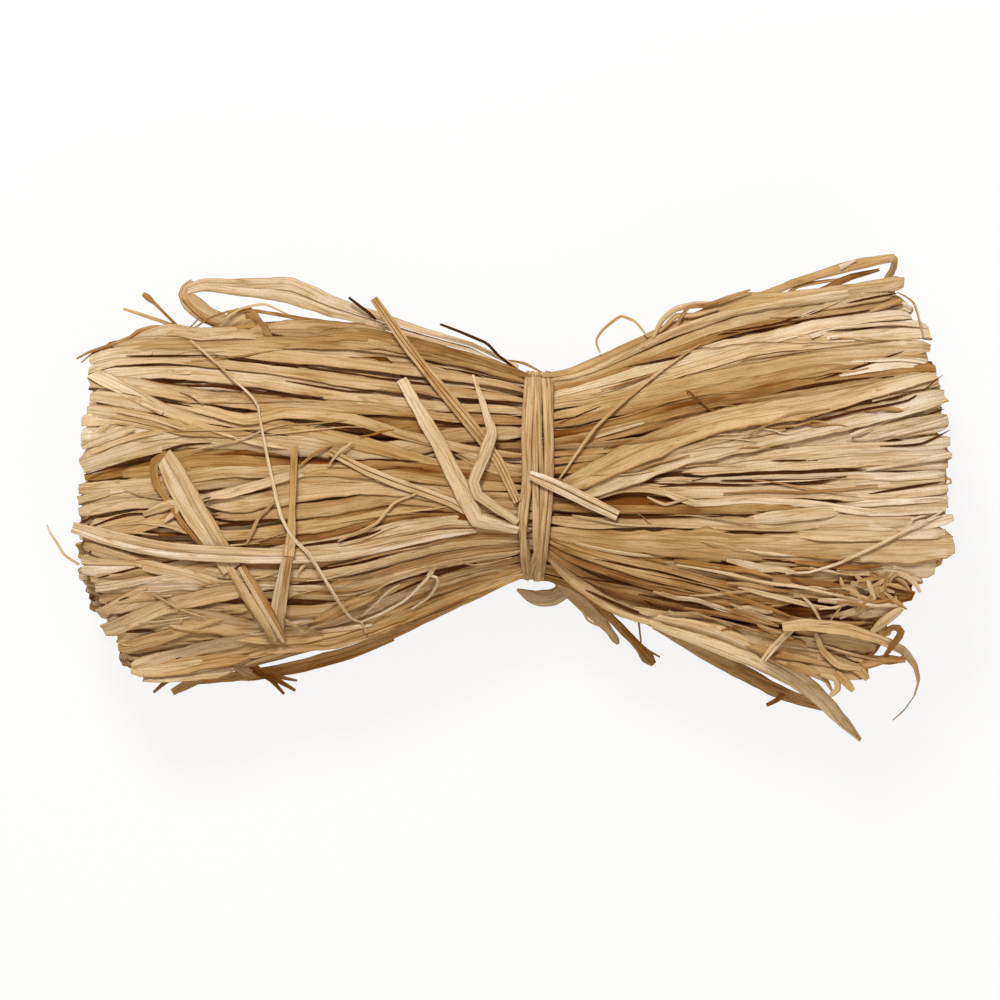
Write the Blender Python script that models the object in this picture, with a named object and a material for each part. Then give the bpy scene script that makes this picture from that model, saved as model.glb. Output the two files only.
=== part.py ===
"""Bundle of raffia: strips folded back at both ends, gathered in sheaves and tied round the waist.

The bundle lies on Z = 0 with its origin under the middle of its box. X runs along it, Y across
it towards its back, Z up. Sizes are in millimetres, and become metres where a mesh is made.
"""

import math
import random

import bmesh
import bpy
from mathutils import Quaternion, Vector

MM = 0.001

# The bundle's outline across X: x, back edge y, front edge y, top z, foot z. The ends spread
# and the tie draws the waist in. Where the foot is below 0, the floor presses the bundle flat.
SECTIONS = (
    (-120, 56.5, -61.0, 58.0, -3.5),
    (-86, 58.5, -57.5, 61.0, -3.5),
    (-50, 59.0, -47.0, 60.5, -0.5),
    (-22, 53.0, -37.5, 57.5, 2.5),
    (4, 43.5, -25.0, 53.5, 5.5),
    (21, 42.5, -27.5, 53.5, 5.5),
    (40, 51.0, -38.5, 57.0, 2.0),
    (70, 64.0, -48.5, 62.0, -2.0),
    (105, 70.5, -58.5, 65.5, -4.0),
    (137, 74.0, -62.0, 62.0, -3.0),
)
SQUARENESS = 2.4  # power of the outline's superellipse: 2 is an ellipse

# Where the folded ends lie: y, x.
LEFT_END = (
    (-62, -119), (-53, -127.5), (-41, -136), (-31, -141), (-14, -144.5), (20, -143.5),
    (49, -137), (57, -121),
)
RIGHT_END = (
    (-62, 125), (-54, 132), (-37, 138), (-25, 149), (-10, 153.5), (7, 153), (34, 151),
    (58, 146), (72, 138),
)
END_ROUNDING = 9.0  # how far the top and the underside fall short of the middle at an end
LEFT_STAGGER = 1.5
RIGHT_STAGGER = 3.0

# Rings of sheaves: name, how many, inner and outer bound as a share of the outline.
RINGS = (
    ("sheaf_outer", 18, 0.72, 1.0),
    ("sheaf_middle", 12, 0.44, 0.72),
    ("sheaf_inner", 6, 0.17, 0.44),
)
CORE_SHARE = 0.17
SHEAF_GAP = 0.45  # from a sheaf's side to the middle of the gap beside it
RING_GAP = 1.1  # the same between one ring of sheaves and the next
WANDER = 0.24  # how far a gap between sheaves wanders, in widths of a sheaf
UNEVENNESS = 0.13  # how far a gap stands from its even place, in widths of a sheaf
END_CAP = 5.0  # length over which a sheaf's end closes

# The tie: one strip wound round the waist.
TIE_TURNS = 3
TIE_START_X = 6.9
TIE_PITCH = 3.7
TIE_WIDTH = 3.2
TIE_THICKNESS = 1.2
TIE_START_ANGLE = -90  # degrees: under the waist
TIE_STEPS_A_TURN = 24
TIE_CLEARANCE = 0.9

STRIP_THICKNESS = 0.9

STRAW = (0.60, 0.42, 0.22)
PALE_STRAW = (0.70, 0.53, 0.31)
DEEP_STRAW = (0.52, 0.34, 0.16)
TAN = (0.44, 0.26, 0.10)


def clear_scene():
    for item in list(bpy.data.objects):
        bpy.data.objects.remove(item, do_unlink=True)


def raffia(name, colour):
    """A dried palm-leaf strip: dull, with a slight waxy sheen."""
    material = bpy.data.materials.new(name)
    material.use_nodes = True
    shader = material.node_tree.nodes["Principled BSDF"]
    shader.inputs["Base Color"].default_value = (*colour, 1.0)
    shader.inputs["Roughness"].default_value = 0.6
    shader.inputs["Metallic"].default_value = 0.0
    return material


def between(rows, key):
    """The values of the row at this key, on straight lines between the rows given."""
    key = min(max(key, rows[0][0]), rows[-1][0])
    for low, high in zip(rows, rows[1:]):
        if key <= high[0]:
            share = (key - low[0]) / (high[0] - low[0])
            return [a + (b - a) * share for a, b in zip(low[1:], high[1:])]
    return list(rows[-1][1:])


def skin_point(x, angle, share=1.0, proud=0.0):
    """A point of the section at x: angle 0 is the back, a quarter turn is the top."""
    back, front, top, foot = between(SECTIONS, x)
    half_width = (back - front) / 2
    half_height = (top - foot) / 2
    across = abs(math.cos(angle) / half_width) ** SQUARENESS
    upward = abs(math.sin(angle) / half_height) ** SQUARENESS
    reach = share * (across + upward) ** (-1 / SQUARENESS) + proud
    y = (back + front) / 2 + reach * math.cos(angle)
    z = (top + foot) / 2 + reach * math.sin(angle)
    return Vector((x, y, max(z, 0.0)))


def over(x, y, lift):
    """A point above the bundle's top, which is taken as level past its rounded edges."""
    back, front, top, foot = between(SECTIONS, x)
    half_width = (back - front) / 2
    aside = min(abs(y - (back + front) / 2) / half_width, 0.88)
    rise = (top - foot) / 2 * (1 - aside**SQUARENESS) ** (1 / SQUARENESS)
    return (x, y, (top + foot) / 2 + rise + lift)


def finished(name, bm, material):
    """Makes the object of one closed body, with its faces out, from a mesh in millimetres."""
    bmesh.ops.recalc_face_normals(bm, faces=bm.faces)
    bmesh.ops.scale(bm, vec=(MM, MM, MM), verts=bm.verts)
    mesh = bpy.data.meshes.new(name)
    bm.to_mesh(mesh)
    bm.free()
    mesh.shade_smooth()
    mesh.set_sharp_from_angle(angle=math.radians(50))
    mesh.materials.append(material)
    item = bpy.data.objects.new(name, mesh)
    bpy.context.scene.collection.objects.link(item)
    return item


def loft(name, outlines, material):
    """Joins outlines of equal length into one closed body."""
    bm = bmesh.new()
    loops = [[bm.verts.new(point) for point in outline] for outline in outlines]
    for near, far in zip(loops, loops[1:]):
        for i in range(len(near)):
            j = (i + 1) % len(near)
            bm.faces.new((near[i], near[j], far[j], far[i]))
    bm.faces.new(loops[0][::-1])
    bm.faces.new(loops[-1])
    return finished(name, bm, material)


# Sheaves: locks of strips side by side, each from the left folds through the tie to the right.


def gap_angles(count, rng):
    """For each gap of a ring, a function that gives its angle at x."""
    step = 2 * math.pi / count
    gaps = []
    for number in range(count):
        middle = (number + rng.uniform(-UNEVENNESS, UNEVENNESS)) * step
        phase = rng.uniform(0, 2 * math.pi)
        length = rng.uniform(40, 80)
        gaps.append((middle, phase, length, step))
    return gaps


def gap_at(gap, x):
    middle, phase, length, step = gap
    return middle + WANDER * step * math.sin(phase + x / length)


def sheaf_outline(x, low, high, inner, outer):
    """The sheaf's section at x, between two gaps and two depths, with a domed outer side."""
    depth = inner + 0.5 * (outer - inner)
    middle = (low + high) / 2
    reach = (skin_point(x, middle, 1.0) - skin_point(x, middle, 0.0)).length
    trim = SHEAF_GAP / (reach * depth)
    low += trim
    high -= trim
    if outer > 0.9:
        shares = ((0.0, 0.965), (0.25, 0.995), (0.5, 1.0), (0.75, 0.995), (1.0, 0.965))
        inset = 0.0
    else:
        shares = ((0.0, 1.0), (0.5, 1.0), (1.0, 1.0))
        inset = RING_GAP
    points = []
    for along, dome in shares:
        points.append(skin_point(x, low + (high - low) * along, outer * dome, -inset))
    for along in (1.0, 0.5, 0.0):
        points.append(skin_point(x, low + (high - low) * along, inner, RING_GAP))
    return points


def core_outline(x, count=6):
    return [skin_point(x, 2 * math.pi * i / count, CORE_SHARE, -RING_GAP) for i in range(count)]


def drawn_in(outline, share):
    middle = sum(outline, Vector()) / len(outline)
    return [middle + (point - middle) * share for point in outline]


def sheaf_length(outline_at, rng):
    """Where a sheaf starts and ends: on the folded ends' curves, staggered a little."""
    ends = []
    for side, curve, stagger in ((-1, LEFT_END, LEFT_STAGGER), (1, RIGHT_END, RIGHT_STAGGER)):
        x = SECTIONS[0][0] if side < 0 else SECTIONS[-1][0]
        outline = outline_at(x)
        middle = sum(outline, Vector()) / len(outline)
        _, _, top, foot = between(SECTIONS, x)
        height = abs(middle.z - (top + foot) / 2) / ((top - foot) / 2)
        end = between(curve, middle.y)[0] + rng.uniform(-stagger, stagger)
        ends.append(end - side * END_ROUNDING * height**3)
    return ends


def sheaf(name, outline_at, rng, material):
    left, right = sheaf_length(outline_at, rng)
    stations = [row[0] for row in SECTIONS if left + 2 * END_CAP < row[0] < right - 2 * END_CAP]
    outlines = [drawn_in(outline_at(left), 0.6), drawn_in(outline_at(left + END_CAP), 0.97)]
    outlines += [outline_at(x) for x in stations]
    outlines += [drawn_in(outline_at(right - END_CAP), 0.97), drawn_in(outline_at(right), 0.6)]
    return loft(name, outlines, material)


def sheaves():
    rng = random.Random(11)
    straws = [
        raffia("raffia_straw", STRAW),
        raffia("raffia_pale", PALE_STRAW),
        raffia("raffia_deep", DEEP_STRAW),
    ]
    for ring, count, inner, outer in RINGS:
        gaps = gap_angles(count, rng)
        for number in range(count):
            low_gap = gaps[number]
            high_gap = gaps[(number + 1) % count]
            full_turn = 2 * math.pi if number == count - 1 else 0.0
            crown = outer - rng.uniform(0.0, 0.02) if outer > 0.9 else outer

            def outline_at(x):
                low = gap_at(low_gap, x)
                high = gap_at(high_gap, x) + full_turn
                return sheaf_outline(x, low, high, inner, crown)

            sheaf(f"{ring}_{number + 1:02d}", outline_at, rng, straws[number % 3])
    sheaf("sheaf_core", core_outline, rng, straws[0])


# Strips: flat, creased down the middle, swept along a route of hand-chosen points.


def smooth_route(route):
    """The route with one more point on a smooth curve between each two of its points."""
    rows = [Vector(row) for row in route]
    smooth = []
    for i in range(len(rows) - 1):
        before = rows[max(i - 1, 0)]
        after = rows[min(i + 2, len(rows) - 1)]
        smooth.append(rows[i])
        smooth.append((rows[i] + rows[i + 1]) * 0.5625 - (before + after) * 0.0625)
    smooth.append(rows[-1])
    return smooth


def strip_section(point, tangent, normal, width, thickness):
    aside = tangent.cross(normal).normalized() * (width / 2)
    crown = normal * (thickness / 2)
    return [point + aside, point + crown, point - aside, point - crown]


def strip(name, route, material, roll=0.0, end_roll=None, thickness=STRIP_THICKNESS):
    """A strip along a route of (x, y, z, width). Its flat side starts facing up, turned by
    roll degrees about its run, and ends turned by end_roll."""
    rows = smooth_route(route)
    points = [Vector(row[:3]) for row in rows]
    last = len(points) - 1
    end_roll = roll if end_roll is None else end_roll
    tangents = []
    for i in range(last + 1):
        tangents.append((points[min(i + 1, last)] - points[max(i - 1, 0)]).normalized())
    normal = Vector((0, 0, 1))
    outlines = []
    for i in range(last + 1):
        if i:
            normal = tangents[i - 1].rotation_difference(tangents[i]) @ normal
        normal = (normal - tangents[i] * normal.dot(tangents[i])).normalized()
        turn = math.radians(roll + (end_roll - roll) * i / last)
        facing = Quaternion(tangents[i], turn) @ normal
        outlines.append(strip_section(points[i], tangents[i], facing, rows[i][3], thickness))
    return loft(name, outlines, material)


def tie(material):
    """The strip that holds the bundle, wound round the waist in a close helix."""
    steps = TIE_TURNS * TIE_STEPS_A_TURN
    outlines = []
    for i in range(steps + 1):
        turn = i / TIE_STEPS_A_TURN
        angle = math.radians(TIE_START_ANGLE) + 2 * math.pi * turn
        x = TIE_START_X + TIE_PITCH * turn
        inner = skin_point(x, angle, 1.0, TIE_CLEARANCE)
        outer = skin_point(x, angle, 1.0, TIE_CLEARANCE + TIE_THICKNESS)
        aside = Vector((TIE_WIDTH / 2, 0, 0))
        outlines.append([inner - aside, outer - aside, outer + aside, inner + aside])
    return loft("tie_strand", outlines, material)


def on_top(*rows):
    """A route that lies over the bundle's top, from rows of (x, y, lift, width)."""
    return [(*over(x, y, lift), width) for x, y, lift, width in rows]


def tie_tails(pale, tan):
    strip("tie_tail_tan", on_top(
        (-41.8, 66.8, 3.4, 3.0), (-36.2, 59.0, 3.4, 3.6), (-30.8, 51.0, 3.2, 4.2), (-21.8, 39.9, 2.6, 4.6),
        (-13.5, 29.7, 2.0, 4.6), (-6.1, 20.5, 1.6, 4.2), (-0.6, 13.1, 1.5, 3.8), (4.8, 2.6, 1.5, 2.8),
    ), tan)
    strip("tie_tail_wide", on_top(
        (-32.6, 40.0, 2.2, 3.6), (-26.7, 29.8, 2.4, 4.4), (-20.8, 19.5, 2.4, 5.0), (-12.6, 2.9, 2.6, 5.6),
        (-9.8, -3.4, 2.6, 5.0), (-6.2, -7.6, 2.4, 4.2), (-0.6, -9.8, 2.4, 3.2), (5.1, -11.2, 2.4, 2.6),
    ), pale)
    strip("tie_tail_bent", on_top(
        (-8.9, 41.4, 2.4, 2.0), (-7.3, 36.8, 2.6, 2.6), (-4.3, 28.5, 3.0, 3.2), (-2.6, 22.7, 3.2, 3.8),
        (-3.2, 18.9, 3.2, 4.2), (-5.6, 12.7, 3.6, 4.2), (-8.6, 6.1, 4.2, 4.0), (-8.2, 2.4, 4.4, 3.8),
        (-5.4, -0.9, 4.0, 3.4), (-1.4, -3.0, 3.4, 3.2), (5.1, -5.6, 3.0, 2.6),
    ), pale)
    strip("tie_tail_narrow", on_top(
        (-56.7, 16.0, 1.4, 2.6), (-44.0, 9.8, 1.3, 3.2), (-34.7, 5.9, 1.1, 3.2), (-25.4, 2.6, 1.1, 3.2),
        (-16.2, -0.8, 1.0, 3.0), (-9.0, -3.6, 0.9, 2.8), (-2.0, -6.4, 0.9, 2.8), (5.1, -8.6, 0.9, 2.4),
    ), pale)
    strip("tie_tail_short", on_top(
        (10.2, 7.9, 3.4, 4.0), (14.7, 6.4, 3.4, 4.8), (21.5, 3.3, 3.0, 5.0), (29.8, -0.7, 2.2, 4.8),
        (39.1, -5.3, 1.8, 4.4),
    ), pale)


def loose_on_top(straw, pale, tan):
    strip("loose_strip_diagonal", on_top(
        (-112.8, 14.7, 1.6, 6.4), (-107.5, 5.9, 1.5, 8.6), (-101.6, -3.4, 1.3, 8.4), (-94.8, -13.7, 1.2, 7.6),
        (-89.9, -21.5, 1.2, 6.6), (-84, -30.3, 1.5, 6.4), (-78.6, -38.1, 2.4, 6.2), (-74.7, -44.5, 3.0, 5.8),
        (-72.8, -49.8, 3.2, 5.0),
    ), straw, thickness=1.3)
    strip("loose_strip_lengthwise", on_top(
        (-141.7, -9.6, 1.4, 4.0), (-131.9, -12.1, 1.3, 4.6), (-121.1, -15, 1.6, 4.8),
        (-108.4, -16.9, 2.8, 4.8), (-91.8, -18, 3.0, 4.8), (-80.1, -18.5, 1.8, 4.8),
        (-66.4, -18.6, 1.0, 4.6), (-50.8, -17.6, 1.0, 4.4), (-35.2, -14.5, 1.0, 4.0),
        (-20.5, -12.2, 1.0, 3.4), (-11.7, -11.7, 1.0, 2.6),
    ), pale)
    strip("loose_strip_upright", on_top(
        (-68.4, 17.6, 1.2, 2.0), (-68.7, 7.8, 1.3, 2.2), (-69.2, -2, 1.4, 2.4), (-69.8, -11.7, 2.0, 3.0),
        (-70.9, -19.5, 2.7, 3.4), (-72.3, -27.4, 1.8, 4.2), (-73.7, -35.2, 1.2, 4.4),
    ), tan)


def loose_at_back(straw, pale, tan):
    strip("loose_loop_back_left", [
        (5.0, 47.6, 35.5, 3.0), (-10, 54.4, 37, 3.6), (-25, 58.6, 38, 4.4), (-38, 62.4, 40, 5.2),
        (-50, 65.8, 42, 6.4), (-60, 69.0, 44, 7.4), (-70, 72.0, 45.5, 8.0), (-84, 73.0, 46.5, 7.6),
        (-98, 72.6, 47, 7.0), (-104.6, 71.0, 46.6, 6.2), (-107.4, 68.6, 44.8, 5.8),
        (-105, 66.8, 42.8, 6.0), (-100, 65.2, 42.2, 6.2), (-92, 63.6, 43.2, 6.2),
        (-84, 62.6, 45, 5.0),
    ], pale, roll=50, end_roll=0)
    strip("loose_loop_back_right", [
        (78, 72.0, 40, 2.2), (90, 74.2, 42, 2.4), (103, 77.0, 44.5, 2.6), (112, 78.8, 45.5, 3.0),
        (120, 80.0, 46, 3.0), (128, 80.9, 46, 2.8), (133.2, 81.0, 44.8, 2.6),
        (133.6, 79.6, 42.8, 3.2), (131.4, 77.6, 42, 3.0),
    ], straw)
    strip("loose_thread_back_left", [
        (-106, 60.5, 45, 1.2), (-112, 62.4, 46, 1.3), (-116.5, 65.6, 46.6, 1.4),
        (-121.5, 70, 47, 1.6),
    ], tan)
    strip("loose_split_back_left", [
        (-113, 60.2, 42, 2.0), (-120, 60.6, 42, 2.2), (-128, 57.4, 42, 1.8), (-136, 54.0, 42, 1.4),
        (-144, 50.2, 42, 1.2),
    ], tan)


def loose_at_ends(straw, pale):
    strip("loose_curl_right", [
        (*over(98, -43.0, 1.3), 3.2), (*over(110, -43.0, 1.3), 3.4), (*over(120, -44.9, 1.3), 3.4),
        (129, -47.6, 57.8, 3.2), (136.4, -51.2, 52, 2.8), (141.0, -56.2, 43, 2.4),
        (142.2, -61.8, 34, 2.0), (140.4, -67.6, 23, 1.8), (134, -74.6, 12, 1.2),
    ], pale)
    strip("loose_thread_left", [
        (-145.6, -21.5, 34, 0.9), (-149, -18.2, 36, 0.9), (-151.4, -14, 37, 0.9),
        (-153, -11.2, 37, 0.8), (-154.4, -8, 36.5, 0.8),
    ], straw)


def loose_at_front(straw, pale, deep, tan):
    strip("loose_strip_front_left", [
        (-100, -61.4, 23, 3.0), (-92, -60.4, 23, 3.4), (-78, -57.6, 22, 3.6), (-64, -53.8, 21, 3.6),
        (-50, -49.8, 21, 3.6), (-38, -45.6, 21, 3.4), (-26, -41.2, 22, 3.2), (-14, -36.0, 24, 2.8),
        (-4, -31.2, 26, 2.4), (5, -28.0, 28, 2.0),
    ], straw, roll=4, end_roll=20)
    strip("loose_fork_front_left", [
        (-87, -60.8, 27, 1.8), (-81, -61.6, 26, 2.0), (-75, -63.0, 25, 2.0), (-69.6, -65.0, 24, 1.8),
    ], tan)
    strip("loose_stub_front_left", [
        (-103.6, -62.2, 25, 2.2), (-107.4, -64.4, 24.4, 2.8), (-111.4, -67.4, 22.6, 2.2),
    ], tan)
    strip("loose_strip_front_right", [
        (46, -38.2, 44.0, 3.4), (54, -40.2, 46.2, 4.6), (62, -42.0, 48.2, 5.6), (72, -44.6, 49.4, 6.6),
        (82, -48.8, 48.8, 7.0), (90, -52.8, 47.4, 6.8), (98, -58.2, 42, 6.4), (105, -63.0, 33, 6.0),
        (111, -67.8, 22, 5.2), (116, -73.0, 11, 4.6), (119.6, -77.6, 4.4, 3.8), (122.6, -81.4, 1.3, 2.0),
    ], straw, roll=34, end_roll=0)
    strip("loose_strip_front_right_deep", [
        (52, -44.6, 25.5, 3.0), (58, -47.4, 21, 3.4), (66, -51.8, 16, 3.8), (74, -55.8, 11.4, 4.2),
        (82, -59.8, 8.2, 4.6), (90, -63.6, 5.8, 4.4), (98, -67.0, 3.8, 3.8), (106, -70.0, 2.2, 3.0),
        (114, -72.6, 1, 1.8),
    ], deep)
    strip("loose_end_deep", [
        (25, -31.8, 26, 2.8), (31, -36.0, 21, 3.2), (38, -41.8, 16, 3.4), (44.4, -47.6, 11.6, 3.4),
        (49.6, -52.8, 8.4, 4.0), (53, -56.4, 7, 3.2),
    ], deep)
    strip("loose_end_rounded", [
        (20.5, -30.8, 21, 3.6), (25.4, -34.4, 17, 4.2), (31, -38.8, 12.4, 4.2), (36, -43.2, 8.2, 3.4),
        (39.6, -47.6, 5.4, 2.8), (41, -49.8, 4.4, 1.8),
    ], straw)
    strip("loose_curl_under_tie", [
        (20.8, -23.0, 10.4, 3.4), (22.4, -27.5, 10, 4.4), (21.4, -31.0, 9.4, 5.0),
        (17.5, -33.4, 9, 5.0), (12.5, -33.6, 8.6, 4.6), (8.8, -32.0, 8, 3.2), (5.8, -30.4, 7.6, 1.2),
    ], pale)


def build():
    clear_scene()
    straw = raffia("loose_straw", STRAW)
    pale = raffia("loose_pale", PALE_STRAW)
    deep = raffia("loose_deep", DEEP_STRAW)
    tan = raffia("loose_tan", TAN)
    sheaves()
    tie(raffia("tie_raffia", PALE_STRAW))
    tie_tails(pale, tan)
    loose_on_top(straw, pale, tan)
    loose_at_back(straw, pale, tan)
    loose_at_ends(straw, pale)
    loose_at_front(straw, pale, deep, tan)


build()
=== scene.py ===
"""Looks for a bundle of raffia that lies on its side, tied round the waist.

X runs along the bundle, Y across it towards its back and Z up. Sizes given in the script are
in millimetres, and MM turns them to the frame's metres.
"""

import math

import bpy
import numpy as np
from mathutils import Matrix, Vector
from mathutils.bvhtree import BVHTree


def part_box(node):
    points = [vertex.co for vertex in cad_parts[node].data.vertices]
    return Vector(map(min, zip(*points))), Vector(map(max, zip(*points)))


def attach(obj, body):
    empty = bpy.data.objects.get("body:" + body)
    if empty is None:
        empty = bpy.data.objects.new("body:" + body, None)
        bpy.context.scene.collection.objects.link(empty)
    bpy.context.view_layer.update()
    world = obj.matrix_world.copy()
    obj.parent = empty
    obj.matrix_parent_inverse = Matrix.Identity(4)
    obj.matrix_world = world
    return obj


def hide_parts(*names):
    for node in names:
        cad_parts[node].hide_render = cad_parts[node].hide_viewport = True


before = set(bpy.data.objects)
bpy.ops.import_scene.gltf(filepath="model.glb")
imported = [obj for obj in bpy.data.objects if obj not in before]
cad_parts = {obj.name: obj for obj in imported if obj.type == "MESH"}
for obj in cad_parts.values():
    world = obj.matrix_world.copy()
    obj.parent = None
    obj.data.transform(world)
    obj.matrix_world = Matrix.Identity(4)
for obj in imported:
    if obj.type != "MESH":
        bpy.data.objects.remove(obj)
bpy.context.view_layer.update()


# ------------------------------------------------------------------------------------------
# Camera, floor and light
# The bundle lies on a white table under a wide soft light from its back, and is seen from
# straight above through a long lens.

MM = 0.001
CAMERA_HEIGHT = 1300 * MM
VIEW_SIDE = 340 * MM  # side of the square that the camera takes in
VIEW_LEVEL = 31 * MM  # height above the table at which it takes that in
SENSOR = 36.0
FLOOR_HALF = 1.5
FLOOR_GLOW = 0.86  # how much of its own light the white floor shows to the camera


def hex_colour(text, alpha=1.0):
    """An sRGB hex colour as the linear values that Blender's shaders take."""
    channels = [int(text[i:i + 2], 16) / 255 for i in (1, 3, 5)]
    linear = [c / 12.92 if c <= 0.04045 else ((c + 0.055) / 1.055) ** 2.4 for c in channels]
    return (*linear, alpha)


def add_node(tree, kind, settings=None, **links):
    """Adds a node. Each link or plain value goes to the input of that name, with _ for a space,
    or of that number where the name starts with in."""
    node = tree.nodes.new(kind)
    for key, value in (settings or {}).items():
        setattr(node, key, value)
    for key, value in links.items():
        numbered = key.startswith("in") and key[2:].isdigit()
        socket = node.inputs[int(key[2:]) if numbered else key.replace("_", " ")]
        if isinstance(value, bpy.types.NodeSocket):
            tree.links.new(value, socket)
        else:
            socket.default_value = value
    return node


scene = bpy.context.scene
scene.view_settings.view_transform = "Standard"

camera_data = bpy.data.cameras.new("camera")
camera_data.sensor_width = SENSOR
camera_data.lens = SENSOR * (CAMERA_HEIGHT - VIEW_LEVEL) / VIEW_SIDE
camera = bpy.data.objects.new("camera", camera_data)
camera.location = (0, 0, CAMERA_HEIGHT)
scene.collection.objects.link(camera)
scene.camera = camera


def soft_light(name, side, watts, place):
    """A square lamp, turned towards the bundle's foot."""
    lamp = bpy.data.lights.new(name, "AREA")
    lamp.shape = "SQUARE"
    lamp.size = side
    lamp.energy = watts
    holder = bpy.data.objects.new(name, lamp)
    holder.location = place
    holder.rotation_euler = (-Vector(place)).to_track_quat("-Z", "Y").to_euler()
    scene.collection.objects.link(holder)


soft_light("light_back", 0.34, 16.0, (-0.22, 0.80, 1.15))
soft_light("light_front", 1.2, 6.0, (0.4, -1.2, 0.9))

world = bpy.data.worlds.new("studio")
scene.world = world
world.use_nodes = True
sky = world.node_tree.nodes["Background"].inputs
sky["Color"].default_value = hex_colour("#ffecd2")
sky["Strength"].default_value = 0.4

floor_mesh = bpy.data.meshes.new("floor")
corners = [(x * FLOOR_HALF, y * FLOOR_HALF, 0) for x, y in ((-1, -1), (1, -1), (1, 1), (-1, 1))]
floor_mesh.from_pydata(corners, [], [(0, 1, 2, 3)])
floor = bpy.data.objects.new("floor", floor_mesh)
scene.collection.objects.link(floor)

# White paper: matt, and lit so evenly that the camera sees it as almost pure white.
paper = bpy.data.materials.new("white_paper")
paper.use_nodes = True
paper_tree = paper.node_tree
paper_shader = paper_tree.nodes["Principled BSDF"]
paper_shader.inputs["Base Color"].default_value = hex_colour("#f4f4f4")
paper_shader.inputs["Roughness"].default_value = 0.9
to_camera = add_node(paper_tree, "ShaderNodeLightPath").outputs["Is Camera Ray"]
glowing = add_node(paper_tree, "ShaderNodeMath", {"operation": "MULTIPLY"}, in0=to_camera, in1=FLOOR_GLOW)
glow = add_node(paper_tree, "ShaderNodeEmission")
seen = add_node(paper_tree, "ShaderNodeMixShader", in0=glowing.outputs[0], in1=paper_shader.outputs[0],
                in2=glow.outputs[0])
paper_tree.links.new(seen.outputs[0], paper_tree.nodes["Material Output"].inputs["Surface"])
floor_mesh.materials.append(paper)


# ------------------------------------------------------------------------------------------
# The strips of the bundle
# Strips of dried young palm leaf. Each runs from the folds at the left end through the tie to
# the folds at the right, and turns back inwards at both. They lie in layers and cross each
# other at small angles.

# They lie in the space of the frame's sheaves, so the bundle's outline is read from these: how
# far the outermost sheaves reach in each direction across, and where the sheaves end.

OUTLINE_STEP = 4 * MM
OUTLINE_ANGLES = 72
END_ROUNDING = 11 * MM  # the length over which a sheaf's end is drawn in
OUTSIDE = 0.3  # a place clear of the bundle, from which it is felt for
LEAST_REACH = 5 * MM  # what is met closer to the centre line than this is seen through a gap


def solid_tree(names):
    """The named CAD nodes as one tree for casting rays."""
    points, faces = [], []
    for name in names:
        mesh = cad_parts[name].data
        start = len(points)
        points += [v.co.copy() for v in mesh.vertices]
        faces += [[start + i for i in polygon.vertices] for polygon in mesh.polygons]
    return BVHTree.FromPolygons(points, faces)


sheaf_names = sorted(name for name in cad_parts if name.startswith("sheaf_"))
outer_names = [name for name in sheaf_names if name.startswith("sheaf_outer")]
outer_tree = solid_tree(outer_names)
sheaf_tree = solid_tree(sheaf_names)


def felt(tree, start, direction):
    """Where a ray first meets the solids, or None."""
    return tree.ray_cast(Vector(start), Vector(direction))[0]


def smoothed(rows, times):
    """Each row averaged with its neighbours, this many times."""
    for _ in range(times):
        padded = np.vstack([rows[:1], rows, rows[-1:]])
        rows = (padded[:-2] + 2 * rows + padded[2:]) / 4
    return rows


def felt_outline():
    """Centre lines and reach of the bundle, on a grid along X and round it."""
    low = max(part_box(name)[0].x for name in outer_names)
    high = min(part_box(name)[1].x for name in outer_names)
    xs = np.arange(low + END_ROUNDING, high - END_ROUNDING, OUTLINE_STEP)
    level = max(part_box(name)[1].z for name in outer_names) / 2

    def farthest(x, way, others):
        """The outermost place met along -way, from a few rays that miss the gaps between."""
        places = []
        for other in others:
            start = Vector((x, 0, other)) if way.y else Vector((x, other, 0))
            met = felt(outer_tree, start + way * OUTSIDE, -way)
            if met is not None:
                places.append(met.dot(way))
        return max(places) * (way.y + way.z) if places else np.nan

    centres = np.empty((len(xs), 2))
    for i, x in enumerate(xs):
        levels = level + np.arange(-4, 5) * MM
        centres[i, 0] = (farthest(x, Vector((0, 1, 0)), levels) + farthest(x, Vector((0, -1, 0)), levels)) / 2
        across = centres[i, 0] + np.arange(-6, 7, 2) * MM
        centres[i, 1] = (farthest(x, Vector((0, 0, 1)), across) + farthest(x, Vector((0, 0, -1)), across)) / 2
    centres = smoothed(centres, 6)
    reach = np.full((len(xs), OUTLINE_ANGLES), np.nan)
    for i, x in enumerate(xs):
        centre = Vector((x, *centres[i]))
        for j in range(OUTLINE_ANGLES):
            angle = 2 * math.pi * j / OUTLINE_ANGLES
            way = Vector((0, math.cos(angle), math.sin(angle)))
            met = felt(outer_tree, centre + way * OUTSIDE, -way)
            if met is not None and (met - centre).dot(way) > LEAST_REACH:
                reach[i, j] = (met - centre).length
    for j in range(OUTLINE_ANGLES):
        known = ~np.isnan(reach[:, j])
        reach[:, j] = np.interp(xs, xs[known], reach[known, j])
    reach = np.maximum(reach, np.maximum(np.roll(reach, 1, 1), np.roll(reach, -1, 1)))
    reach = (np.roll(reach, 1, 1) + 2 * reach + np.roll(reach, -1, 1)) / 4
    return xs, centres, smoothed(reach, 2)


outline_x, outline_centre, outline_reach = felt_outline()


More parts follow.
